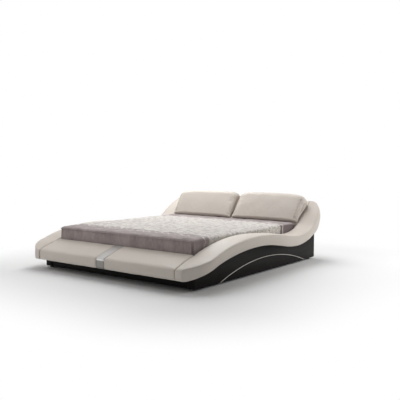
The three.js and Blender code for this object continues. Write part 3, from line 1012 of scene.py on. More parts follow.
def cord(path: Array, outward: Array, radii: Pair, closed: bool) -> Form:
    """Round or flattened cord along a path.

    Args:
        path: Points of its middle.
        outward: Direction away from the surface at each point.
        radii: Half its size across the surface and out of it.
        closed: Whether the path is a loop.

    Returns:
        The cord, with closed ends if it isn't a loop.
    """
    ahead = np.roll(path, -1, 0) - np.roll(path, 1, 0)
    if not closed:
        ahead[0], ahead[-1] = path[1] - path[0], path[-1] - path[-2]
    beside = unit(np.cross(unit(ahead), outward))
    up = np.cross(beside, unit(ahead))
    turns = np.linspace(0, 2 * math.pi, CORD_SIDES, endpoint=False)[:, None]
    across, out = radii[0] * np.cos(turns), radii[1] * np.sin(turns)
    ring = beside[:, None] * across + up[:, None] * out + path[:, None]
    if not closed:
        return skin(ring, (radii[1] * 0.6, radii[1] * 0.6), 3)
    rows, count = ring.shape[:2]
    faces = [
        (
            r * count + i,
            r * count + (i + 1) % count,
            (r + 1) % rows * count + (i + 1) % count,
            (r + 1) % rows * count + i,
        )
        for r in range(rows)
        for i in range(count)
    ]
    return Form(ring.reshape(-1, 3), faces)


@dataclass(frozen=True)
class Stitching:
    """A row of lockstitches.

    Attributes:
        length: Length of a stitch.
        pitch: From one stitch to the next.
        radius: Radius of the thread.
    """

    length: float = 0.0062
    pitch: float = 0.0088
    radius: float = 0.0008

    def along(self, path: Array, outward: Array, closed: bool = False) -> Form:
        """Stitches along a path on a surface.

        Args:
            path: Points of the path.
            outward: Direction away from the surface at each point.
            closed: Whether the path is a loop.

        Returns:
            The stitches.
        """
        both = np.hstack([path, outward])
        if closed:
            both = np.concatenate([both, both[:1]])
        lengths = travelled(both[:, :3])
        count = max(int(lengths[-1] / self.pitch), 2)
        middles = (np.arange(count) + 0.5) * lengths[-1] / count
        first, last = (
            read_at(np.clip(middles + shift * self.length, 0, lengths[-1]), lengths, both)
            for shift in (-0.5, 0.5)
        )
        start, way = first[:, :3], last[:, :3] - first[:, :3]
        up = unit(first[:, 3:] + last[:, 3:])
        beside = unit(np.cross(way, up))
        turns = np.linspace(0, 2 * math.pi, THREAD_SIDES, endpoint=False)[:, None]
        ring = beside[:, None] * np.cos(turns) + up[:, None] * np.sin(turns)
        rows = []
        for share, size, lift in STITCH_ROWS:
            middle = start + way * share + up * (lift * self.radius)
            rows.append(middle[:, None] + ring * (self.radius * size))
        points = np.stack(rows, 1).reshape(-1, 3)
        sides = range(THREAD_SIDES)
        after = [*sides[1:], 0]
        length = THREAD_SIDES * (len(STITCH_ROWS) - 1)
        faces: Faces = []
        for base in range(0, len(points), THREAD_SIDES * len(STITCH_ROWS)):
            for a in range(base, base + length, THREAD_SIDES):
                b = a + THREAD_SIDES
                pairs = zip(sides, after, strict=True)
                faces.extend((a + i, a + j, b + j, b + i) for i, j in pairs)
            faces.append(tuple(base + i for i in reversed(sides)))
            faces.append(tuple(base + length + i for i in sides))
        return Form(points, faces)


def linked(name: str, data: Any) -> Piece:
    """A new object in the scene that shows the given data."""
    made = bpy.data.objects.new(name, data)
    bpy.context.scene.collection.objects.link(made)
    return made


class Workroom:
    """Makes pieces from forms, dresses them and hangs them on the bed's bodies."""

    def __init__(self, nodes: dict[str, Piece], finishes: FinishSet) -> None:
        """Starts with no pieces.

        Args:
            nodes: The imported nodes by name.
            finishes: The bed's materials.
        """
        self.nodes = nodes
        self.finishes = finishes
        self.count = 0

    def piece(self, name: str, form: Form, finish: Material) -> Piece:
        """Makes a smooth mesh object from a form."""
        mesh = bpy.data.meshes.new(name)
        mesh.from_pydata(form.points.tolist(), [], form.faces)
        return self.dressed(linked(name, mesh), finish, 55.0)

    def dressed(self, piece: Piece, finish: Material, sharp: float) -> Piece:
        """Turns faces outward, shades them smoothly up to an angle and sets the material.

        Args:
            piece: The piece.
            finish: Its material.
            sharp: Angle in degrees from which an edge stays crisp.

        Returns:
            The piece.
        """
        edit = bmesh.new()
        edit.from_mesh(piece.data)
        bmesh.ops.recalc_face_normals(edit, faces=edit.faces)
        edit.to_mesh(piece.data)
        edit.free()
        smooth = np.ones(len(piece.data.polygons), bool)
        piece.data.polygons.foreach_set("use_smooth", smooth)
        piece.data.set_sharp_from_angle(angle=math.radians(sharp))
        piece.data.materials.clear()
        piece.data.materials.append(finish)
        return piece

    def hang(
        self,
        piece: Piece,
        body: Body,
        replaced: Sequence[str] = (),
    ) -> None:
        """Hangs a finished piece on its body and reports it.

        Args:
            piece: The piece.
            body: Body that it moves with.
            replaced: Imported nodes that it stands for.
        """
        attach(piece, body.value)
        if replaced:
            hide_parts(*replaced)
        self.count += 1
        log.info("made %s with %d faces", piece.name, len(piece.data.polygons))

    def settle(self, piece: Piece) -> None:
        """Bakes a piece's modifiers into its mesh.

        Args:
            piece: The piece.
        """
        graph = bpy.context.evaluated_depsgraph_get()
        settled = bpy.data.meshes.new_from_object(piece.evaluated_get(graph))
        piece.modifiers.clear()
        piece.data = settled

    def bevelled(self, node: str, finish: Material, width: float, segments: int = 3) -> Piece:
        """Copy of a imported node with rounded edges.

        Args:
            node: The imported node.
            finish: Material of the copy.
            width: Width of the rounding.
            segments: Steps of the rounding.

        Returns:
            The copy.
        """
        source = self.nodes[node].data
        mesh = bpy.data.meshes.new(f"{node}_dressed")
        points = [tuple(v.co) for v in source.vertices]
        mesh.from_pydata(points, [], [tuple(p.vertices) for p in source.polygons])
        made = linked(f"{node}_dressed", mesh)
        edit = bmesh.new()
        edit.from_mesh(mesh)
        bmesh.ops.remove_doubles(edit, verts=edit.verts, dist=1e-5)
        bmesh.ops.dissolve_limit(
            edit, angle_limit=math.radians(1.0), verts=edit.verts, edges=edit.edges
        )
        edit.to_mesh(mesh)
        edit.free()
        round_off = made.modifiers.new("rounding", "BEVEL")
        round_off.width = width
        round_off.segments = segments
        round_off.limit_method = "ANGLE"
        round_off.angle_limit = math.radians(40)
        self.settle(made)
        return self.dressed(made, finish, 35.0)


@dataclass(frozen=True)
class ClothPress:
    """Stuffs a closed form: voxel remesh, pressure in a cloth skin, then a finer mesh.

    Attributes:
        voxel: Size of the remesh.
        travel: How far a point may move.
        pressure: Pressure of the stuffing.
        frames: Steps of the simulation.
        softening: Rounds of smoothing that take the voxels' steps away.
    """

    voxel: float
    travel: float
    pressure: float = 4.0
    frames: int = 20
    softening: int = 5

    def stuffed(
        self, room: Workroom, form: Form, held: Callable[[Array], Array]
    ) -> tuple[Form, Array]:
        """Swells a form.

        Args:
            room: The workroom.
            form: A closed form a little smaller than it should end.
            held: Gives True for points that rest on something and stay.

        Returns:
            The stuffed form and the normals of its points.
        """
        piece = room.piece("unstuffed_form", form, room.finishes.leather)
        remesh = piece.modifiers.new("voxels", "REMESH")
        remesh.mode = "VOXEL"
        remesh.voxel_size = self.voxel
        soften = piece.modifiers.new("soften", "SMOOTH")
        soften.factor = 0.5
        soften.iterations = self.softening
        room.settle(piece)
        rest = mesh_vectors(piece.data.vertices, "co")
        moved = self._simulated(piece, held(rest)) - rest
        reach = np.linalg.norm(moved, axis=1, keepdims=True)
        moved *= np.minimum(1.0, self.travel / np.maximum(reach, 1e-9))
        places = (rest + moved).reshape(-1).astype(np.float32)
        piece.data.vertices.foreach_set("co", places)
        piece.data.update()
        finer = piece.modifiers.new("finer", "SUBSURF")
        finer.levels = finer.render_levels = 1
        room.settle(piece)
        points = mesh_vectors(piece.data.vertices, "co")
        normals = mesh_vectors(piece.data.vertex_normals, "vector")
        faces = [tuple(p.vertices) for p in piece.data.polygons]
        bpy.data.objects.remove(piece)
        return Form(points, faces), normals

    def _simulated(self, piece: Piece, still: Array) -> Array:
        """Runs the cloth and gives the points where they end.

        Args:
            piece: The remeshed piece.
            still: True for each point that doesn't move.

        Returns:
            The points after the last step.
        """
        group = piece.vertex_groups.new(name="held")
        group.add(np.nonzero(still)[0].tolist(), 1.0, "REPLACE")
        cloth = piece.modifiers.new("stuffing", "CLOTH")
        cloth.settings.vertex_group_mass = "held"
        cloth.settings.use_pressure = True
        cloth.settings.uniform_pressure_force = self.pressure
        cloth.settings.effector_weights.gravity = 0.0
        cloth.collision_settings.use_collision = False
        cloth.point_cache.frame_start = 1
        cloth.point_cache.frame_end = self.frames
        scene = bpy.context.scene
        for frame in range(1, self.frames + 1):
            scene.frame_set(frame)
        graph = bpy.context.evaluated_depsgraph_get()
        evaluated = piece.evaluated_get(graph)
        swollen = mesh_vectors(evaluated.to_mesh().vertices, "co")
        evaluated.to_mesh_clear()
        piece.modifiers.remove(cloth)
        piece.vertex_groups.clear()
        scene.frame_set(1)
        return swollen


def mesh_vectors(rows: Any, name: str) -> Array:
    """One vector for each row of a mesh's data, such as its points or their normals."""
    flat = np.zeros(len(rows) * 3)
    rows.foreach_get(name, flat)
    return flat.reshape(-1, 3)


# Plan of the bed


@dataclass(frozen=True)
class BedPlan:
    """Sizes that several sub-assemblies share.

    Attributes:
        foot: Y of the mattress's foot end in the frame.
        mattress_width: Width of the mattress.
        mattress_length: Length of the mattress.
        rail_inner: X of the rails' inner faces.
        rail_width: Width of a rail's underside.
        rail_lean: How far the outer face stands out at the foot.
        rail_crest: Height of the wave's crest.
        bench_depth: Depth of the foot bench.
        bench_back: Y of the bench's back.
        ramp_start: Y of the headboard ramp's foot.
        ramp_height: Height of the ramp's foot.
        ramp_run: Level length of the ramp.
        ramp_rise: Height that the ramp gains.
    """

    foot: float
    mattress_width: float = 1.93
    mattress_length: float = 2.03
    rail_inner: float = 0.99
    rail_width: float = 0.232
    rail_lean: float = 0.026
    rail_crest: float = 0.448
    bench_depth: float = 0.3
    bench_back: float = -0.01
    ramp_start: float = 2.04
    ramp_height: float = 0.455
    ramp_run: float = 0.3
    ramp_rise: float = 0.242

    def placed(self, points: Array) -> Array:
        """Points of the bed moved into the frame."""
        return points + np.array([0.0, self.foot, 0.0])


# Stations along a rail: Y and Z of its top, Y and Z of its underside, and its width. All are
# shares: Y of the bench's depth, the mattress's length or the ramp's run, Z of the crest's
# height or the ramp's rise, and the width of the rail's full width.
FOOT_ROWS = (
    (-1, 0.452, -1, 0.314, 0.275),
    (-0.985, 0.496, -0.979, 0.278, 0.33),
    (-0.94, 0.524, -0.91, 0.2646, 0.395),
    (-0.826, 0.554, -0.781, 0.2825, 0.56),
    (-0.625, 0.605, -0.597, 0.334, 0.785),
    (-0.36, 0.664, -0.33, 0.399, 0.95),
    (-0.08, 0.718, 0.017, 0.471, 1),
)
WAVE_ROWS = (
    (0.037, 0.794, 0.0468, 0.534, 1),
    (0.117, 0.888, 0.1236, 0.6166, 1),
    (0.201, 0.951, 0.2094, 0.6816, 1),
    (0.289, 0.989, 0.299, 0.7265, 1),
    (0.382, 1, 0.3931, 0.74, 1),
    (0.478, 0.982, 0.4926, 0.722, 1),
    (0.581, 0.9395, 0.5975, 0.657, 1),
    (0.687, 0.872, 0.7084, 0.576, 1),
    (0.775, 0.823, 0.793, 0.554, 1),
    (0.841, 0.814, 0.8547, 0.5695, 1),
    (0.897, 0.8386, 0.9113, 0.619, 1),
    (0.946, 0.8924, 0.958, 0.679, 1),
    (0.9803, 0.953, 1, 0.7534, 1),
)
CURL_ROWS = (
    (0, 0, 0.223, -0.347, 0.985),
    (0.2, 0.2, 0.437, -0.124, 0.965),
    (0.4, 0.4, 0.59, 0.116, 0.93),
    (0.567, 0.567, 0.713, 0.31, 0.875),
    (0.733, 0.733, 0.827, 0.496, 0.775),
    (0.867, 0.867, 0.953, 0.661, 0.63),
    (1, 1, 1.087, 0.806, 0.43),
    (1.087, 1.058, 1.173, 0.921, 0.22),
    (1.16, 1.062, 1.2, 0.992, 0.06),
)


class Wave:
    """The line of the rails, from the nose of the bench to the headboard's rim."""

    def __init__(self, plan: BedPlan) -> None:
        """Works out the stations.

        Args:
            plan: Sizes of the bed.
        """
        self.plan = plan
        crest = (plan.rail_crest, 0.0)
        ramp = (plan.ramp_run, plan.ramp_start), (plan.ramp_rise, plan.ramp_height)
        rows = [
            self._rows(FOOT_ROWS, (plan.bench_depth, 0.0), crest),
            self._rows(WAVE_ROWS, (plan.mattress_length, 0.0), crest),
            self._rows(CURL_ROWS, *ramp),
        ]
        dense = smooth_line(np.concatenate(rows), 24)
        steps = np.diff(dense[:, :4], axis=0)
        lengths = np.maximum(
            np.linalg.norm(steps[:, :2], axis=1), np.linalg.norm(steps[:, 2:], axis=1)
        )
        lengths = np.concatenate([[0.0], np.cumsum(lengths)])
        wanted = np.linspace(0, lengths[-1], int(lengths[-1] / STATION_STEP))
        even = read_at(wanted, lengths, dense)
        self.top = even[:, 0:2]
        self.under = even[:, 2:4]
        self.width = np.minimum(even[:, 4], plan.rail_width)
        self.curl_start = int(np.searchsorted(self.top[:, 0], plan.ramp_start))

    def _rows(self, shares: Sequence[tuple[float, ...]], along: Pair, up: Pair) -> Array:
        """Rows of top, underside and width in metres.

        Args:
            shares: The same rows as shares of a length, a height and the rail's width.
            along: That length, and where it starts.
            up: That height, and where it starts.

        Returns:
            The rows.
        """
        (length, start), (rise, base) = along, up
        sizes = np.array([length, rise, length, rise, self.plan.rail_width])
        return np.array(shares) * sizes + np.array([start, base, start, base, 0.0])

    def height(self, at: Any) -> Any:
        """Height of the top line at one place along the bed, or at each of an array."""
        return np.interp(at, self.top[:, 0], self.top[:, 1])

    def top_between(self, low: float, high: float) -> Array:
        """Points of the top line from one place along the bed to another, both included."""
        y = self.top[:, 0]
        inside = self.top[(y > low + 1e-4) & (y < high - 1e-4)]
        return np.concatenate([[[low, self.height(low)]], inside, [[high, self.height(high)]]])

    def nose_under(self) -> Array:
        """Points of the nose below its front, down to the lowest one."""
        lowest = int(np.argmin(self.under[: len(self.under) // 4, 1]))
        return self.under[: lowest + 1]


# Steps of a rail's section, and the columns in it of its two stitched seams.
UNDER_STEPS, LOWER_STEPS, FACE_STEPS = 12, 6, 16
SHOULDER_STEPS, CROWN_STEPS, INNER_STEPS = 12, 20, 8
SHOULDER_SEAM = UNDER_STEPS + LOWER_STEPS + FACE_STEPS
BENCH_SEAM = -(UNDER_STEPS + INNER_STEPS)


# Sub-assemblies


@dataclass
class SideRail:
    """One wave-shaped rail: padded leather with a shoulder seam and a stitched nose.

    Attributes:
        plan: Sizes of the bed.
        wave: Line of the rail.
        side: Side of the bed.
        shoulder: Radius of the outer top edge.
        lower: Radius of the lower outer edge and the inner top edge.
        front_shade: Length over which the outer face gains its lean behind the nose.
        seam: Relief of the shoulder seam.
        swells: Height and length of the padding's relief.
    """

    plan: BedPlan
    wave: Wave
    side: Side
    shoulder: float = 0.019
    lower: float = 0.012
    front_shade: float = 0.14
    seam: SeamRelief = SeamRelief(0.0022, 0.0042, 0.0007, 0.034, 0.016, 0.2)
    swells: Pair = (0.0009, 0.26)

    def section(self, width: float, height: float, lean: float) -> Array:
        """Outline of the rail from its inner lower corner, outward and round.

        Args:
            width: Width of the underside.
            height: Height of the band.
            lean: How far the outer face stands out at the top.

        Returns:
            Points across and up.
        """
        limit = min(width, height) * 0.45
        shoulder = min(self.shoulder, limit, max(0.1 * width, 0.006))
        lower = min(self.lower, limit)
        outer = width + lean
        low_arc = arc((width - lower, lower), lower, (-math.pi / 2, 0), LOWER_STEPS)
        middle = (outer - shoulder, height - shoulder)
        top_arc = arc(middle, shoulder, (0, math.pi / 2), SHOULDER_STEPS)
        in_arc = arc((lower, height - lower), lower, (math.pi / 2, math.pi), INNER_STEPS)
        face = straight(low_arc[-1], top_arc[0], FACE_STEPS)
        swell = np.sin(np.linspace(0, math.pi, FACE_STEPS + 1))[1:-1]
        face[:, 0] += swell * min(0.004, 0.03 * height)
        crown_at = np.array([(outer - shoulder + lower) / 2, height + width * 0.04])
        t = np.linspace(0, 1, CROWN_STEPS + 1)[1:-1, None]
        crown = (1 - t) ** 2 * top_arc[-1] + 2 * t * (1 - t) * crown_at + t**2 * in_arc[0]
        under = straight((0, 0), low_arc[0], UNDER_STEPS)
        inner = straight(in_arc[-1], (0, 0), UNDER_STEPS)
        return np.concatenate([[[0.0, 0.0]], under, low_arc, face, top_arc, crown, in_arc, inner])

    def build(self, room: Workroom) -> None:
        """Builds the rail and the thread of its seams.

        Args:
            room: The workroom.
        """
        wave, plan = self.wave, self.plan
        up = wave.top - wave.under
        heights = np.linalg.norm(up, axis=1)
        up = up / heights[:, None]
        rings = []
        for station in range(len(heights)):
            along = float(wave.top[station, 0])
            towards_foot = min(max(1 - along / plan.ramp_start, 0.0), 1.0)
            behind_nose = min((along + plan.bench_depth) / self.front_shade, 1.0)
            lean = plan.rail_lean * towards_foot * behind_nose**2 * (3 - 2 * behind_nose)
            flat = self.section(float(wave.width[station]), float(heights[station]), lean)
            base = np.concatenate([[plan.rail_inner], wave.under[station]])
            lift = np.concatenate([[0.0], up[station]])
            rings.append(base + np.outer(flat[:, 0], [1.0, 0.0, 0.0]) + np.outer(flat[:, 1], lift))
        grid = np.array(rings)
        normals = grid_normals(grid)
        grid = grid + normals * self._relief(grid)[..., None]
        name = f"side_rail_{self.side.word}"
        form = skin(plan.placed(grid), (0.0025, 0.003)).across(self.side)
        rail = room.piece(f"{name}_upholstery", form, room.finishes.leather)
        room.hang(rail, Body.FRAME, [name])
        until = int(np.searchsorted(wave.top[:, 0], plan.bench_back))
        lines = (np.s_[4:-3, SHOULDER_SEAM + 3], np.s_[2:until, BENCH_SEAM])
        rows = [Stitching().along(grid[line], normals[line]) for line in lines]
        thread = Form.gathered(rows).mapped(plan.placed, self.side)
        stitches = room.piece(f"{name}_stitching", thread, room.finishes.thread)
        room.hang(stitches, Body.FRAME)

    def _relief(self, grid: Array) -> Array:
        """Height of the padding's relief at each point.

        Args:
            grid: Points of the rail.

        Returns:
            Heights in metres.
        """
        seed = 11 if self.side is Side.RIGHT else 23
        relief = self.swells[0] * uneven(grid, self.swells[1], seed)
        column = grid[:, SHOULDER_SEAM : SHOULDER_SEAM + 1]
        away = np.linalg.norm(grid - column, axis=2)
        relief += self.seam.at(grid, away, seed + 1)
        inner = grid[..., 0] - self.plan.rail_inner
        near_bench = 1 / (1 + np.exp((grid[..., 1] - 0.02) / 0.02))
        pull = np.exp(-inner / 0.03) * near_bench
        relief += 0.0011 * uneven(grid, 0.055, seed + 2) * pull
        relief[inner < 0.0015] = 0.0
        relief[:, : UNDER_STEPS + 1] *= 0.2
        return relief


@dataclass
class HeadboardShell:
    """Padded ramp behind the mattress that ends in a rolled rim.

    Attributes:
        plan: Sizes of the bed.
        wave: Line of the rails, which the shell shares.
        half: Half its width.
        skirt: Thickness of the part behind the mattress.
        bottom: Height of the skirt's lower edge.
        back_seams: Places of the seams across the back, as shares of half the width.
        seam: Relief of these seams.
        swells: Height and length of the padding's slow relief.
        dents: Height and length of its fine relief.
    """

    plan: BedPlan
    wave: Wave
    half: float = 0.9897
    skirt: float = 0.04
    bottom: float = 0.118
    back_seams: Pair = (-0.34, 0.34)
    seam: SeamRelief = SeamRelief(0.003, 0.006, 0.001, 0.05, 0.03)
    swells: Pair = (0.0011, 0.3)
    dents: Pair = (0.0005, 0.07)

    def build(self, room: Workroom) -> None:
        """Builds the shell and its back seams.

        Args:
            room: The workroom.
        """
        wave, plan = self.wave, self.plan
        start, back = plan.ramp_start, plan.ramp_start + self.skirt
        top = np.concatenate([[[start, plan.ramp_height]], wave.top[wave.curl_start :]])
        behind = wave.under[wave.under[:, 0] > back][::-1]
        lip = (top[-1] + behind[0]) / 2 + np.array([0.003, 0.002])
        corner = float(np.interp(back, wave.under[:, 0], wave.under[:, 1]))
        front = straight((start, self.bottom), (start, plan.ramp_height), 30)
        skirt = straight((back, corner), (back, self.bottom), 18)
        ends = ([start, self.bottom], [back, corner], [back, self.bottom])
        closed = np.concatenate(
            [ends[:1], front, top, [lip], behind, ends[1:2], skirt, ends[2:], ends[:1]]
        )
        outline = resampled(closed, int(travelled(closed)[-1] / 0.0095))[:-1]
        across = np.linspace(-self.half, self.half, 200)
        grid = np.zeros((len(across), len(outline), 3))
        grid[..., 0] = across[:, None]
        grid[..., 1:] = outline[None]
        relief = padding(grid, self.swells, self.dents, 41)
        at_back = 1 / (1 + np.exp((start + 0.16 - grid[..., 1]) / 0.01))
        low = grid[..., 2] < plan.ramp_height + 0.55 * (grid[..., 1] - start)
        for share in self.back_seams:
            away = np.abs(grid[..., 0] - share * self.half)
            relief += self.seam.at(grid, away, 43) * at_back * low
        relief[grid[..., 1] < start + 0.002] = 0.0
        grid = grid + grid_normals(grid) * relief[..., None]
        form = skin(plan.placed(grid))
        shell = room.piece("headboard_upholstery", form, room.finishes.leather)
        room.hang(shell, Body.FRAME, ["headboard_shell"])


@dataclass
class FootBench:
    """Padded bench at the foot: two stuffed halves and a silver strap between them.

    Attributes:
        plan: Sizes of the bed.
        wave: Line of the rails, whose nose the bench shares.
        thickness: Thickness of the padding.
        crown: How far a pad stands out between its ends.
        draw_in: How far it draws in at its ends.
        strap_half: Half the strap's width.
        strap_inset: How far the strap lies below the pads.
        strap_off: How far the strap lies to the left of the middle.
        slit: Gap between a pad and its rail.
        nick: How much wider that gap is on the front.
        roll: Width of the rounding at a pad's ends.
        seam_places: Distance of a pad's seams from the strap's edge and from the rail.
        strap_curve: How far the strap's edges turn down, and how far its middle stands up.
        strap_thread: Distance of the strap's thread from its edges.
        seam: Relief of the stitch lines at a pad's ends.
        swells: Height and length of the padding's slow relief.
        dents: Height and length of its fine relief.
        stuffing: How the pads are stuffed.
    """

    plan: BedPlan
    wave: Wave
    thickness: float = 0.045
    crown: float = 0.001
    draw_in: float = 0.008
    strap_half: float = 0.0565
    strap_inset: float = 0.002
    strap_off: float = 0.0115
    slit: float = 0.0024
    nick: float = 0.0055
    roll: float = 0.009
    seam_places: Pair = (0.011, 0.014)
    strap_curve: Pair = (0.0022, 0.0012)
    strap_thread: float = 0.008
    seam: SeamRelief = SeamRelief(0.0012, 0.0035, 0.0011, 0.03, 0.022, 0.25)
    swells: Pair = (0.0008, 0.22)
    dents: Pair = (0.0003, 0.07)
    stuffing: ClothPress = ClothPress(voxel=0.0065, travel=0.0015)

    def profile(self, steps: int = PAD_POINTS) -> tuple[Array, Array]:
        """Outer line of the bench from its back over the nose to the lower edge.

        Args:
            steps: Number of points.

        Returns:
            The points and their outward directions, each along and up.
        """
        top = self.wave.top_between(-self.plan.bench_depth, self.plan.bench_back)[::-1]
        under = self.wave.nose_under()
        line = resampled(np.concatenate([top, under]), steps)
        ahead = np.gradient(line, axis=0)
        out = unit(np.stack([-ahead[:, 1], ahead[:, 0]], 1))
        return line, out if out[steps // 6, 1] > 0 else -out

    def outline(self, inset: float) -> Array:
        """Closed section of a pad, drawn in by an inset.

        Args:
            inset: How far the outer line is drawn in, more on the front than on top.

        Returns:
            Points along and up.
        """
        line, out = self.profile()
        hold = 1 + 1.3 * np.maximum(0.0, -out[:, 0]) ** 2
        hold[0] = 0.0
        shifted = line - out * (inset * hold)[:, None]
        shifted[0, 1] = line[0, 1] - inset
        shifted[-1] = line[-1]
        inner = -self.plan.bench_depth + self.thickness
        corner, back = (
            (y, float(self.wave.height(y)) - self.thickness) for y in (inner, self.plan.bench_back)
        )
        stops = (shifted[-1], (inner, float(line[-1, 1])), corner, back, shifted[0])
        parts = [shifted]
        for start, end, steps in zip(stops, stops[1:], (4, 10, 26, 7), strict=False):
            parts += [straight(start, end, steps), [end]]
        return np.concatenate(parts[:-1])

    def build(self, room: Workroom) -> None:
        """Builds both pads, their thread and the strap.

        Args:
            room: The workroom.
        """
        low, high = self.strap_half + 0.0003, self.plan.rail_inner - self.slit
        line, out = self.profile()
        front = np.maximum(0.0, -out[:, 0]) ** 2
        rings = []
        for share in -np.cos(np.linspace(0, math.pi, PAD_RINGS)):
            x = low + (share + 1) / 2 * (high - low)
            rolled = max(0.0, 1 - min(x - low, high - x) / self.roll)
            drawn = self.draw_in * (1 - math.sqrt(max(0.0, 1 - rolled**2)))
            flat = self.outline(drawn - self.crown * (1 - share**2))
            ring = np.insert(flat, 0, x, axis=1)
            near_rail = max(0.0, 1 - (high - x) / (3 * self.roll))
            ring[: len(line), 0] -= self.nick * near_rail * front
            rings.append(ring)
        form, normals = self.stuffing.stuffed(
            room, skin(np.array(rings)), lambda points: self._resting(points, low, high)
        )
        for side in Side:
            points = self._seamed(form.points, normals, side)
            share = (high - points[:, 0]) / (high - low)
            points[:, 0] -= side.value * self.strap_off * share
            shaped = Form(points, form.faces)
            name = f"bench_pad_{side.word}"
            placed = shaped.mapped(self.plan.placed, side)
            pad = room.piece(f"{name}_upholstery", placed, room.finishes.leather)
            room.hang(pad, Body.FRAME, [name])
            self._stitch(room, shaped, side, low, high)
            # The left pad's puckers rise from the right one's finished surface.
            normals = mesh_vectors(pad.data.vertex_normals, "vector")
        self._lay_strap(room)

    def _resting(self, points: Array, low: float, high: float) -> Array:
        """Finds the points of a pad that rest on the core or on a neighbour.

        Args:
            points: Points of the pad.
            low: X of its inner end.
            high: X of its outer end.

        Returns:
            Whether each point rests.
        """
        line, _ = self.profile()
        surface = np.interp(points[:, 1], line[::-1, 0], line[::-1, 1])
        y, z = points[:, 1], points[:, 2]
        under_top = (z < surface - self.thickness * 0.75) & (y > -self.plan.bench_depth + 0.032)
        ends = (points[:, 0] < low + 0.004) | (points[:, 0] > high - 0.004)
        back = y > self.plan.bench_back - 0.006
        bottom = z < line[-1, 1] + 0.006
        return under_top | ends | back | bottom

    def _seamed(self, points: Array, normals: Array, side: Side) -> Array:
        """Draws a pad in at its stitch lines and puckers the leather beside them.

        Args:
            points: Points of the stuffed pad.
            normals: Their normals.
            side: Side of the bed, which changes the puckers.

        Returns:
            The moved points.
        """
        seed = 61 if side is Side.RIGHT else 67
        relief = padding(points, self.swells, self.dents, seed)
        inner, outer = self.seam_places
        for place in (self.strap_half + inner, self.plan.rail_inner - outer):
            away = np.abs(points[:, 0] - place)
            relief += self.seam.at(points, away, seed + 2)
        hidden = points[:, 2] < self.wave.height(points[:, 1]) - 0.03
        relief[(points[:, 1] > -self.plan.bench_depth + 0.035) & hidden] = 0.0
        return points + normals * relief[:, None]

    def _stitch(self, room: Workroom, form: Form, side: Side, low: float, high: float) -> None:
        """Lays thread along both ends of a pad.

        Args:
            room: The workroom.
            form: The finished pad on the right side.
            side: Side of the bed.
            low: X of the pad's inner end.
            high: X of its outer end.
        """
        tree = BVHTree.FromPolygons(form.points.tolist(), form.faces)
        line, out = self.profile(THREAD_POINTS)
        rows = []
        for x in (low - side.value * self.strap_off + 0.011, high - 0.0105):
            hits, ups = [], []
            for (y, z), (oy, oz) in zip(line[2:-6], out[2:-6], strict=True):
                start = Vector((x, y + oy * 0.05, z + oz * 0.05))
                spot, normal, _, _ = tree.ray_cast(start, Vector((0, -oy, -oz)), 0.12)
                if spot is not None:
                    hits.append(tuple(spot))
                    ups.append(tuple(normal))
            rows.append(Stitching().along(np.array(hits), np.array(ups)))
        thread = Form.gathered(rows).mapped(self.plan.placed, side)
        stitches = room.piece(f"bench_pad_{side.word}_stitching", thread, room.finishes.thread)
        room.hang(stitches, Body.FRAME)

    def _lay_strap(self, room: Workroom) -> None:
        """Lays the strap in the gap between the pads, with a stitched edge each side.

        Args:
            room: The workroom.
        """
        rings = []
        for share in np.linspace(-1, 1, STRAP_RINGS):
            edge = self.strap_curve[0] * max(0.0, (abs(share) - 0.93) / 0.07) ** 2
            crown = self.strap_curve[1] * (1 - share**2)
            flat = self.outline(self.strap_inset + edge - crown)
            x = share * (self.strap_half - 0.0002) - self.strap_off
            rings.append(np.insert(flat, 0, x, axis=1))
        grid = np.array(rings)
        line, out = self.profile()
        drawn = line - out * (self.strap_inset - 0.0008)
        grid[:, : len(line), 2] += 0.0004 * uneven(grid[:, : len(line)], 0.04, 71)
        form = skin(self.plan.placed(grid))
        strap = room.piece("bench_strap_leather", form, room.finishes.strap)
        room.hang(strap, Body.FRAME, ["bench_strap"])
        ups = np.insert(out, 0, 0.0, axis=1)[2:-2]
        edge = self.strap_half - self.strap_thread
        rows = []
        for x in (-self.strap_off - edge, -self.strap_off + edge):
            path = self.plan.placed(np.insert(drawn, 0, x, axis=1))[2:-2]
            rows.append(Stitching().along(path, ups))
        stitches = room.piece("bench_strap_stitching", Form.gathered(rows), room.finishes.thread)
        room.hang(stitches, Body.FRAME)


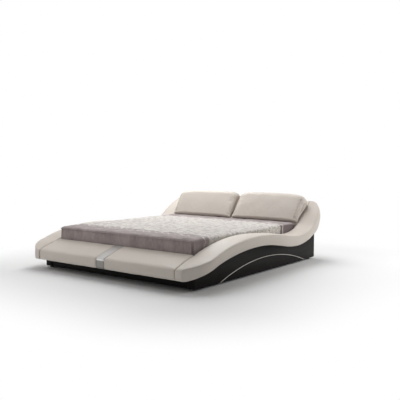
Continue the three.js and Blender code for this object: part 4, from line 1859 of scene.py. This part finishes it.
@dataclass
class Headrests:
    """Two stuffed headrests with rolled tops and piped end gussets.

    Attributes:
        plan: Sizes of the bed.
        low: X of a headrest's inner end.
        high: X of its outer end.
        hinge_along: Hinge's place up the ramp.
        hinge_out: Hinge's height out of the ramp.
        nose: Radius of the lower edge beside the ramp.
        nose_front: Radius of the lower edge where it meets the face.
        back: Height of the flat back out of the ramp.
        roll_along: Place of the roll's middle up the ramp from the hinge.
        roll_out: Height of the roll's middle out of the ramp.
        roll: Radius of the roll.
        crown: How far the face stands out before stuffing.
        inner_end: Shares of length and depth that the inner end keeps.
        inner_powers: How late length and depth fall towards the inner end.
        outer_end: Shares of length and depth that the outer end keeps.
        outer_powers: How late length and depth fall towards the outer end.
        taper: How much shorter a headrest is at its lower edge.
        gusset: Width of the outer end's gusset.
        piping: Radius of the piping on its seams.
        seam: Relief of the end seams.
        swells: Height and length of the padding's slow relief.
        dents: Height and length of its fine relief.
        tightness: How tight the inner end's seam and the gusset's two seams are drawn.
        pocket: Half the length of the pocket round a hinge.
        pocket_radius: Clearance round the hinge's axis inside it.
        pocket_turns: Angles round the axis between which the lower edge folds in.
        stuffing: How the headrests are stuffed.
    """

    plan: BedPlan
    low: float = 0.015
    high: float = 1.01
    hinge_along: float = 0.031
    hinge_out: float = 0.018
    nose: float = 0.014
    nose_front: float = 0.028
    back: float = 0.0223
    roll_along: float = 0.321
    roll_out: float = 0.082
    roll: float = 0.069
    crown: float = 0.006
    inner_end: Pair = (0.87, 0.5)
    inner_powers: Pair = (7.0, 7.0)
    outer_end: Pair = (0.72, 0.5)
    outer_powers: Pair = (3.8, 8.0)
    taper: float = 0.026
    gusset: float = 0.03
    piping: float = 0.0038
    seam: SeamRelief = SeamRelief(0.0036, 0.0065, 0.0013, 0.04, 0.025, 0.3)
    swells: Pair = (0.0011, 0.26)
    dents: Pair = (0.0002, 0.07)
    tightness: Triple = (0.25, 1.0, 1.0)
    pocket: float = 0.034
    pocket_radius: float = 0.0128
    pocket_turns: Pair = (math.radians(-172), math.radians(18))
    stuffing: ClothPress = ClothPress(voxel=0.0078, travel=0.006)

    def outline(self, length: float, depth: float) -> Array:
        """Section of a headrest.

        Args:
            length: Share of its length up the ramp that it keeps.
            depth: Share of its depth out of the ramp that it keeps.

        Returns:
            Points up the ramp from the hinge and out of it.
        """
        rise = self.roll_out - self.hinge_out
        lean = math.atan2(rise, self.roll_along) + math.asin(
            (self.roll - self.nose_front) / math.hypot(self.roll_along, rise)
        )
        face_turn = math.pi / 2 + lean
        nose_turn = math.asin((self.back - self.hinge_out) / self.nose)
        roll_turn = math.asin((self.back - self.roll_out) / self.roll)
        turns = np.linspace(nose_turn, face_turn - 2 * math.pi, 22)
        growth = np.clip((-turns - math.pi / 2) / (turns[-1] + math.pi / 2) * -1, 0, 1)
        radii = self.nose + (self.nose_front - self.nose) * growth**2 * (3 - 2 * growth)
        nose = np.stack([np.cos(turns) * radii, np.sin(turns) * radii + self.hinge_out], 1)
        roll = arc((self.roll_along, self.roll_out), self.roll, (face_turn, roll_turn), 34)
        face = straight(nose[-1], roll[0], 34)
        shares = np.linspace(0, 1, 35)[1:-1]
        face[:, 1] += self.crown * np.sin(math.pi * shares)
        back = straight(roll[-1], nose[0], 34)
        points = np.concatenate([nose, face, roll, back])
        points[:, 0] *= np.where(points[:, 0] > 0, length, 2 - length)
        above = points[:, 1] > self.back
        points[above, 1] = self.back + (points[above, 1] - self.back) * depth
        return points

    def on_ramp(self, points: Array) -> Array:
        """Tapers a headrest's points and moves them into the frame.

        Args:
            points: Points across, up along and out of the ramp.

        Returns:
            Points in the frame.
        """
        turn = math.atan2(self.plan.ramp_rise, self.plan.ramp_run)
        cos, sin = math.cos(turn), math.sin(turn)
        x, u, w = points[:, 0], points[:, 1] + self.hinge_along, points[:, 2]
        low_down = 1 - np.clip(points[:, 1] / self.roll_along, 0.0, 1.0)
        x = x - self.taper * low_down * (x - self.low) / (self.high - self.low)
        y = self.plan.ramp_start + cos * u - sin * w
        z = self.plan.ramp_height + sin * u + cos * w
        return self.plan.placed(np.stack([x, y, z], 1))

    def build(self, room: Workroom) -> None:
        """Builds both headrests with their piping and thread.

        Args:
            room: The workroom.
        """
        rings = []
        for share in -np.cos(np.linspace(0, math.pi, HEADREST_RINGS)):
            at_inner = share < 0
            ends = self.inner_end if at_inner else self.outer_end
            powers = self.inner_powers if at_inner else self.outer_powers
            length, depth = (
                end + (1 - end) * math.sqrt(max(0.0, 1 - abs(share) ** power))
                for end, power in zip(ends, powers, strict=True)
            )
            x = self.low + (share + 1) / 2 * (self.high - self.low)
            rings.append(np.insert(self.outline(length, depth), 0, x, axis=1))
        form, normals = self.stuffing.stuffed(room, skin(np.array(rings)), self._resting)
        for side, body in ((Side.RIGHT, Body.HEADREST_RIGHT), (Side.LEFT, Body.HEADREST_LEFT)):
            shaped = Form(self._seamed(form.points, normals, side), form.faces)
            placed = shaped.mapped(self.on_ramp, side)
            cushion = room.piece(f"headrest_{side.word}_cushion", placed, room.finishes.leather)
            node = f"headrest_cushion_{side.word}"
            room.hang(cushion, body, [node])
            self._trim(room, shaped, side, body)

    def _resting(self, points: Array) -> Array:
        """Points of a cushion that rest on its board or turn on its hinges."""
        at_hinge = np.hypot(points[:, 1], points[:, 2] - self.hinge_out) < self.nose + 0.004
        return (points[:, 2] < self.back + 0.003) | at_hinge

    def _seamed(self, points: Array, normals: Array, side: Side) -> Array:
        """Draws a cushion in at its end seams and puckers the leather beside them.

        Args:
            points: Points of the stuffed cushion.
            normals: Their normals.
            side: Side of the bed, which changes the puckers.

        Returns:
            The moved points.
        """
        seed = 81 if side is Side.RIGHT else 87
        relief = padding(points, self.swells, self.dents, seed)
        for place, tight in zip(self._seams(), self.tightness, strict=True):
            relief += tight * self.seam.at(points, np.abs(points[:, 0] - place), seed + 2)
        relief[self._resting(points)] = 0.0
        return self._pocketed(points + normals * relief[:, None])

    def _pocketed(self, points: Array) -> Array:
        """Folds the lower edge up and over each hinge, so that the hinge's base stays clear.

        Args:
            points: Points of the cushion.

        Returns:
            The moved points.
        """
        u, w = points[:, 1], points[:, 2] - self.hinge_out
        start, end = self.pocket_turns
        share = np.mod(np.arctan2(w, u) - start, 2 * math.pi) / (end - start)
        radius = np.hypot(u, w)
        folds = (share <= 1) & (radius < 0.03 - 0.008 * share)
        turn = start - share * (2 * math.pi - (end - start))
        reach = self.pocket_radius + (radius - self.pocket_radius) * np.exp(-share / 0.08)
        folded = np.stack(
            [points[:, 0], reach * np.cos(turn), self.hinge_out + reach * np.sin(turn)], 1
        )
        squeeze = self.taper / (self.high - self.low)
        depth = np.zeros(len(points))
        for number in (1, 2):
            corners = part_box(f"headrest_hinge_right_{number}_base")
            middle = (corners[0].x + corners[1].x) / 2
            place = (middle - squeeze * self.low) / (1 - squeeze)
            past = (np.abs(points[:, 0] - place) - self.pocket) / 0.006
            depth = np.maximum(depth, 1 - np.clip(past, 0.0, 1.0))
        depth = (depth * folds)[:, None]
        return points * (1 - depth) + folded * depth

    def _seams(self) -> Triple:
        """X of the inner end's seam and of the gusset's two seams."""
        return (self.low + 0.03, self.high - self.gusset - 0.012, self.high - 0.006)

    def _trim(self, room: Workroom, form: Form, side: Side, body: Body) -> None:
        """Lays piping on the gusset's seams and thread on the inner seam.

        Args:
            room: The workroom.
            form: The finished cushion, across, up and out of the ramp.
            side: Side of the bed.
            body: Body that the headrest moves with.
        """
        tree = BVHTree.FromPolygons(form.points.tolist(), form.faces)
        inner, first, second = self._seams()
        cords, rows = [], []
        for x in (first, second):
            path, ups = self._loop(tree, x)
            cords.append(cord(path - ups * 0.0008, ups, (self.piping, self.piping), closed=True))
        for x in (inner - 0.007, inner + 0.007, first - 0.009):
            rows.append(Stitching().along(*self._loop(tree, x), closed=True))
        leather, thread = room.finishes.leather, room.finishes.thread
        for kind, forms, finish in (("piping", cords, leather), ("stitching", rows, thread)):
            trim = Form.gathered(forms).mapped(self.on_ramp, side)
            room.hang(room.piece(f"headrest_{side.word}_{kind}", trim, finish), body)

    def _loop(self, tree: BVHTree, x: float) -> tuple[Array, Array]:
        """Points and normals of the cushion's surface round one section.

        Args:
            tree: Search tree of the cushion.
            x: Place of the section.

        Returns:
            The points and their outward directions.
        """
        middle = Vector((x, 0.2, 0.05))
        hits, ups = [], []
        for turn in np.linspace(0, 2 * math.pi, LOOP_RAYS, endpoint=False):
            way = Vector((0, math.cos(turn), math.sin(turn) * 0.45)).normalized()
            spot, normal, _, _ = tree.ray_cast(middle, way, 0.6)
            if spot is not None:
                hits.append(tuple(spot))
                ups.append(tuple(normal if normal.dot(way) > 0 else -normal))
        loop = np.hstack([hits + hits[:1], ups + ups[:1]])
        even = resampled(loop, LOOP_POINTS)[:-1]
        return even[:, :3], unit(even[:, 3:])


@dataclass
class QuiltedMattress:
    """Spring mattress with a quilted top, velour borders and tape edges.

    Attributes:
        plan: Sizes of the bed.
        bottom: Height of its underside.
        height: Height of its sides.
        shift: How far it lies off the bed's middle.
        spread: How far its padding swells past its size at the sides and the ends.
        trim: How much shorter it is at the head, clear of the headrests when they tilt.
        corner: Radius of its corners.
        droop: How far the top falls at its corners, and how far from them it starts to.
        crown: How far its middle stands above its edges.
        roll: Radius over which the top rolls down to the upper tape edge.
        quilt_depth: Depth of the quilting.
        quilt_pitch: Distance between its seams.
        quilt_sway: How far the seams sway, and the length of a sway.
        step: Distance from point to point.
        belly: How far the sides swell halfway up.
        waist: How far the sides stand inside the outline before they swell.
        folds: Depths of the broad and the fine folds in the sides.
        tape: Radius of the tape edges.
        tape_low: Height of the lower tape edge above the underside.
    """

    plan: BedPlan
    bottom: float = 0.2483
    height: float = 0.215
    shift: float = -0.01
    spread: Pair = (0.01, 0.006)
    trim: float = 0.022
    corner: float = 0.028
    droop: Pair = (0.004, 0.06)
    crown: float = 0.012
    roll: float = 0.02
    quilt_depth: float = 0.009
    quilt_pitch: float = 0.15
    quilt_sway: Pair = (0.034, 0.27)
    step: float = 0.0105
    belly: float = 0.006
    waist: float = 0.009
    folds: Pair = (0.0022, 0.0007)
    tape: float = 0.0034
    tape_low: float = 0.012

    @property
    def middle(self) -> float:
        """Place of its middle along the bed, which is half its length."""
        return (self.plan.mattress_length - self.trim) / 2

    @property
    def tape_high(self) -> float:
        """Height of the upper tape edge above the underside."""
        return self.height - self.roll

    def outline(self, inset: float) -> Array:
        """Rounded rectangle of the mattress, drawn in.

        Args:
            inset: How far it is drawn in.

        Returns:
            Points across and along, of one number for every inset.
        """
        half_x = self.plan.mattress_width / 2 + self.spread[0] - inset
        half_y = self.middle + self.spread[1] - inset
        corner = min(max(self.corner - inset * 0.25, 0.012), half_x, half_y)
        reach = np.array([half_x - corner, half_y - corner])
        sides = (self.plan.mattress_width, 2 * self.middle)
        signs = ((1, 1), (-1, 1), (-1, -1), (1, -1))
        points = []
        for quarter, (sign, following) in enumerate(zip(signs, signs[1:] + signs[:1], strict=True)):
            angles = np.linspace(0, math.pi / 2, 21) + quarter * math.pi / 2
            turned = corner * np.stack([np.cos(angles), np.sin(angles)], 1)
            count = int((sides[quarter % 2] - 2 * self.corner) / self.step)
            points.append(reach * sign + turned)
            points.append(straight(points[-1][-1], reach * following + turned[-1], count))
        return np.concatenate(points) + np.array([self.shift, self.middle])

    def level(self, inset: float, height: float) -> Array:
        """Outline drawn in by an inset at a height above the underside."""
        return np.insert(self.outline(inset), 2, self.bottom + height, axis=1)

    def build(self, room: Workroom) -> None:
        """Builds the border, the quilted top and the tape edges.

        Args:
            room: The workroom.
        """
        loops = []
        for height in (self.tape_low, self.tape_high):
            path = self._drooped(self.level(0.0015, height), height / self.height)
            ups = path - np.array([0.0, self.middle, 0.0])
            ups[:, 2] = 0.0
            radii = (self.tape, self.tape)
            loops.append(cord(self.plan.placed(path), unit(ups), radii, closed=True))
        cover, body, slot = room.finishes.ticking, Body.MATTRESS, Slot.MATTRESS
        border = room.piece("mattress_border", self._border(), cover)
        room.hang(border, body, ["mattress"])
        room.hang(room.piece("mattress_quilted_top", self._top(), cover), body)
        room.hang(room.piece("mattress_tape_edges", Form.gathered(loops), cover), body)

    def _border(self) -> Form:
        """Side band and underside, with soft upright creases."""
        low, high = self.tape_low, self.tape_high
        between = np.linspace(2 * low, high - 0.006, 24)
        levels = np.concatenate([[0.0, low], between, [high, high + 0.004]])
        rings = []
        for level in levels:
            share = level / self.height
            swell = self.belly * math.sin(math.pi * min(share, 1.0)) ** 0.7
            inset = self.waist - swell + (0.006 if level == 0.0 else 0.0)
            rings.append(self.level(inset, level))
        grid = np.array(rings)
        normals = np.zeros_like(grid)
        flat = grid[len(grid) // 2, :, :2]
        ahead = np.roll(flat, -1, 0) - np.roll(flat, 1, 0)
        normals[..., 0], normals[..., 1] = ahead[:, 1], -ahead[:, 0]
        normals = unit(normals)
        fade = np.sin(math.pi * np.clip(levels / self.height, 0, 1))[:, None] ** 0.5
        front_shade = grid * np.array([1.0, 1.0, 0.12])
        broad, fine = self.folds
        fold = uneven(front_shade, 0.085, 91) * broad + uneven(front_shade, 0.03, 92) * fine
        crease = -np.abs(uneven(front_shade, 0.16, 93)) ** 0.3 * 0.002 + 0.0015
        relief = (fold + crease) * fade * (1 - 0.88 * (np.abs(grid[..., 0]) > 0.95))
        relief += 0.005 * self._at_corner(grid, 0.03) * fade
        relief -= 0.026 * self._at_corner(grid, 0.0085) * fade
        grid = grid + normals * relief[..., None]
        grid = self._drooped(grid, (levels / self.height)[:, None])
        inner = self.level(0.05, high)
        return skin(self.plan.placed(np.concatenate([grid, inner[None]])))

    def _top(self) -> Form:
        """Quilted top panel, rolled down to the upper tape edge."""
        turns = np.linspace(0.0, 0.86, 6) * math.pi / 2
        edge = [
            (0.002 + self.roll * (1 - math.cos(t)), self.height - self.roll * (1 - math.sin(t)))
            for t in turns
        ]
        insets = np.arange(edge[-1][0] + 0.008, 0.9, self.step)
        rings = [self.level(inset, height) for inset, height in edge]
        for inset in insets:
            rise = 0.6 * math.sin(min(1.0, inset / 0.09) * math.pi / 2)
            rise += 0.4 * math.sin(min(1.0, inset / 0.45) * math.pi / 2)
            rings.append(self.level(float(inset), self.height + self.crown * rise))
        grid = np.array(rings)
        inset_all = np.concatenate([[i for i, _ in edge], insets])[:, None]
        fade = 1 / (1 + np.exp((0.03 - inset_all) / 0.006))
        grid[..., 2] += (self._quilting(grid) - self.quilt_depth * 0.45) * fade
        grid[..., 2] += 0.0018 * uneven(grid, 0.2, 95) * fade
        grid = self._drooped(grid, 1.0)
        under = self.level(0.06, self.tape_high)
        return skin(self.plan.placed(np.concatenate([under[None], grid])))

    def _drooped(self, grid: Array, share: Any) -> Array:
        """Points that fall near the mattress's corners, by a share of the top's droop."""
        depth, reach = self.droop
        fall = depth * self._at_corner(grid, reach) * share
        return grid - fall[..., None] * np.array([0.0, 0.0, 1.0])

    def _at_corner(self, grid: Array, reach: float) -> Array:
        """Share from 0 to 1 of how near points lie to the tip of a corner.

        Args:
            grid: Points of the mattress.
            reach: Distance at which the share has fallen by two thirds.

        Returns:
            The share for each point.
        """
        half_x = self.plan.mattress_width / 2 + self.spread[0]
        half_y = self.middle + self.spread[1]
        cut = self.corner * (1 - math.sqrt(0.5))
        dx = np.abs(np.abs(grid[..., 0] - self.shift) - (half_x - cut))
        dy = np.abs(np.abs(grid[..., 1] - self.middle) - (half_y - cut))
        return np.exp(-(dx**2 + dy**2) / reach**2)

    def _quilting(self, grid: Array) -> Array:
        """Height of the quilting, in cells between two families of wavy seams.

        Args:
            grid: Points of the top.

        Returns:
            Heights from 0 in a seam to the quilt's full depth.
        """
        x, y = grid[..., 0], grid[..., 1]
        sway = self.quilt_sway[0] * np.sin(2 * math.pi * x / self.quilt_sway[1])
        first = np.abs(np.sin(math.pi * (y + sway) / self.quilt_pitch))
        second = np.abs(np.sin(math.pi * ((y - sway) / self.quilt_pitch + 0.5)))
        cell = np.minimum(first, second)
        return self.quilt_depth * np.clip(cell, 0, 1) ** 0.55


@dataclass
class BlackPlinth:
    """Plinth panels wrapped in black leather, with an arch of pale piping on each side.

    Attributes:
        plan: Sizes of the bed.
        outer: X of the panels' outer faces.
        span: Places of the piping's two ends.
        rise: How far the arch rises.
        foot: Height of its ends.
        half_width: Half the piping's width.
        thickness: How far it stands out.
        easing: Rounding of the panels' edges.
    """

    plan: BedPlan
    outer: float = 1.085
    span: Pair = (0.284, 2.025)
    rise: float = 0.148
    foot: float = 0.02
    half_width: float = 0.0045
    thickness: float = 0.005
    easing: float = 0.005

    def build(self, room: Workroom) -> None:
        """Builds the panels and both arches.

        Args:
            room: The workroom.
        """
        self._wrap(room, "plinth_front_panel")
        self._wrap(room, "plinth_rear_panel")
        for side in Side:
            self._wrap(room, f"plinth_side_panel_{side.word}")
            node = f"side_piping_{side.word}"
            piping = room.piece(f"{node}_cord", self._arch().across(side), room.finishes.piping)
            room.hang(piping, Body.FRAME, [node])

    def _wrap(self, room: Workroom, node: str) -> None:
        """Wraps one packed panel in black leather."""
        panel = room.bevelled(node, room.finishes.black, self.easing)
        room.hang(panel, Body.FRAME, [node])

    def _arch(self) -> Form:
        """Flattened cord on a circle through the arch's ends and top."""
        half = (self.span[1] - self.span[0]) / 2
        radius = (half**2 + self.rise**2) / (2 * self.rise)
        centre = (self.span[0] + half, self.foot + self.rise - radius)
        reach = math.asin(half / radius)
        turns = (math.pi / 2 + reach, math.pi / 2 - reach)
        line = arc(centre, radius + self.half_width, turns, 220)
        depth = self.thickness / 2
        path = np.insert(line, 0, self.outer + 0.0003 + depth, axis=1)
        ups = np.tile([1.0, 0.0, 0.0], (len(path), 1))
        radii = (self.half_width * 0.72, depth)
        return cord(self.plan.placed(path), ups, radii, closed=False)


@dataclass
class SlattedDeck:
    """Slats, ledges and beam with eased edges, which show when the mattress is lifted."""

    slats: int = 12
    easing: float = 0.003

    def build(self, room: Workroom) -> None:
        """Builds the deck.

        Args:
            room: The workroom.
        """
        timber, beam = room.finishes.timber, room.finishes.beam
        names = [(f"slat_{n + 1}", timber) for n in range(self.slats)]
        names += [(f"slat_ledge_{side.word}", beam) for side in Side] + [("centre_beam", beam)]
        for node, finish in names:
            piece = room.bevelled(node, finish, self.easing, 2)
            room.hang(piece, Body.FRAME, [node])


@dataclass
class HardParts:
    """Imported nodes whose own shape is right: glides, legs, brackets, hinges and boards."""

    def dress(self, room: Workroom) -> None:
        """Gives each node its material.

        Args:
            room: The workroom.
        """
        steel, board = room.finishes.steel, room.finishes.board
        choices = {
            "glide_foot": room.finishes.glide,
            "beam_leg": steel,
            "corner_bracket": steel,
            "headrest_hinge": steel,
            "headrest_board": board,
            "bench_core": board,
        }
        for start, finish in choices.items():
            for name in sorted(n for n in room.nodes if n.startswith(start)):
                for slot in room.nodes[name].material_slots:
                    slot.material = finish
                log.info("dressed %s", name)


# Studio


@dataclass(frozen=True)
class Studio:
    """Camera, lamps, floor and background.

    Attributes:
        place: Where the camera stands.
        azimuth: Its turn about the upright axis, in degrees.
        pitch: How far it looks down, in degrees.
        lens: Focal length in millimetres on a sensor 36 mm wide.
        sky: Strength of the even light from all round.
    """

    place: Triple = (4.407, -5.4275, 1.213)
    azimuth: float = 37.48
    pitch: float = 3.756
    lens: float = 52.925
    sky: float = 0.18

    def build(self) -> None:
        """Builds the studio."""
        self._camera()
        self._sky()
        self._lamp("overhead", (-0.8, 1.0, 4.4), (3.0, 4.4), 124.0)
        self._lamp("front_left", (-3.2, -3.2, 3.2), (2.6, 2.6), 45.0)
        self._lamp("front_low", (-2.2, -4.8, 0.9), (3.4, 1.4), 9.0)
        self._lamp("rear_right", (3.1, 2.1, 1.8), (1.8, 1.8), 41.0)
        self._lamp("rear_left", (-1.6, 1.6, 2.3), (1.8, 1.8), 26.0)
        self._floor()

    def _camera(self) -> None:
        """Sets up the camera at the photograph's angle."""
        data = bpy.data.cameras.new("photograph")
        data.lens = self.lens
        data.sensor_width = 36.0
        data.clip_end = 100.0
        camera = linked("photograph", data)
        camera.location = self.place
        turn = (math.radians(90 - self.pitch), 0.0, math.radians(self.azimuth))
        camera.rotation_euler = turn
        bpy.context.scene.camera = camera

    def _sky(self) -> None:
        """White world for the camera and even light for the bed."""
        bench = ShaderBench("studio", bpy.data.worlds)
        even, white = (
            bench.node("ShaderNodeBackground", None, {"Color": (1.0, 1.0, 1.0), "Strength": power})
            for power in (self.sky, 1.0)
        )
        world = bench.blended("ShaderNodeOutputWorld", bench.seen(), even, white)
        bpy.context.scene.world = world

    def _lamp(self, name: str, place: Triple, size: Pair, power: float) -> None:
        """Adds a rectangular lamp that points at the bed.

        Args:
            name: Name of the lamp.
            place: Where it hangs.
            size: Its two sides.
            power: Its power in watts.
        """
        data = bpy.data.lights.new(name, "AREA")
        data.shape = "RECTANGLE"
        data.size, data.size_y = size
        data.energy = power
        lamp = linked(name, data)
        lamp.location = place
        way = Vector(LAMP_AIM) - Vector(place)
        lamp.rotation_euler = way.to_track_quat("-Z", "Y").to_euler()

    def _floor(self) -> None:
        """Adds the floor."""
        mesh = bpy.data.meshes.new("floor")
        edit = bmesh.new()
        bmesh.ops.create_grid(edit, x_segments=8, y_segments=8, size=FLOOR_REACH)
        edit.to_mesh(mesh)
        edit.free()
        mesh.materials.append(StudioFloor().material())
        linked("floor", mesh)


def main() -> None:
    """Builds the bed's looks and the studio round it."""
    logging.basicConfig(level=logging.INFO, format="%(message)s")
    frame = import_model()
    scene = bpy.context.scene
    scene.view_settings.view_transform = "Standard"
    Studio().build()
    plan = BedPlan(foot=float(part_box("mattress")[0].y))
    room = Workroom(frame["nodes"], FinishSet(plan.foot))
    wave = Wave(plan)
    HardParts().dress(room)
    parts = [
        BlackPlinth(plan),
        SlattedDeck(),
        *(SideRail(plan, wave, side) for side in Side),
        HeadboardShell(plan, wave),
        FootBench(plan, wave),
        QuiltedMattress(plan),
        Headrests(plan),
    ]
    for part in parts:
        part.build(room)
    log.info("%d pieces in all", room.count)


if __name__ == "__main__":
    main()
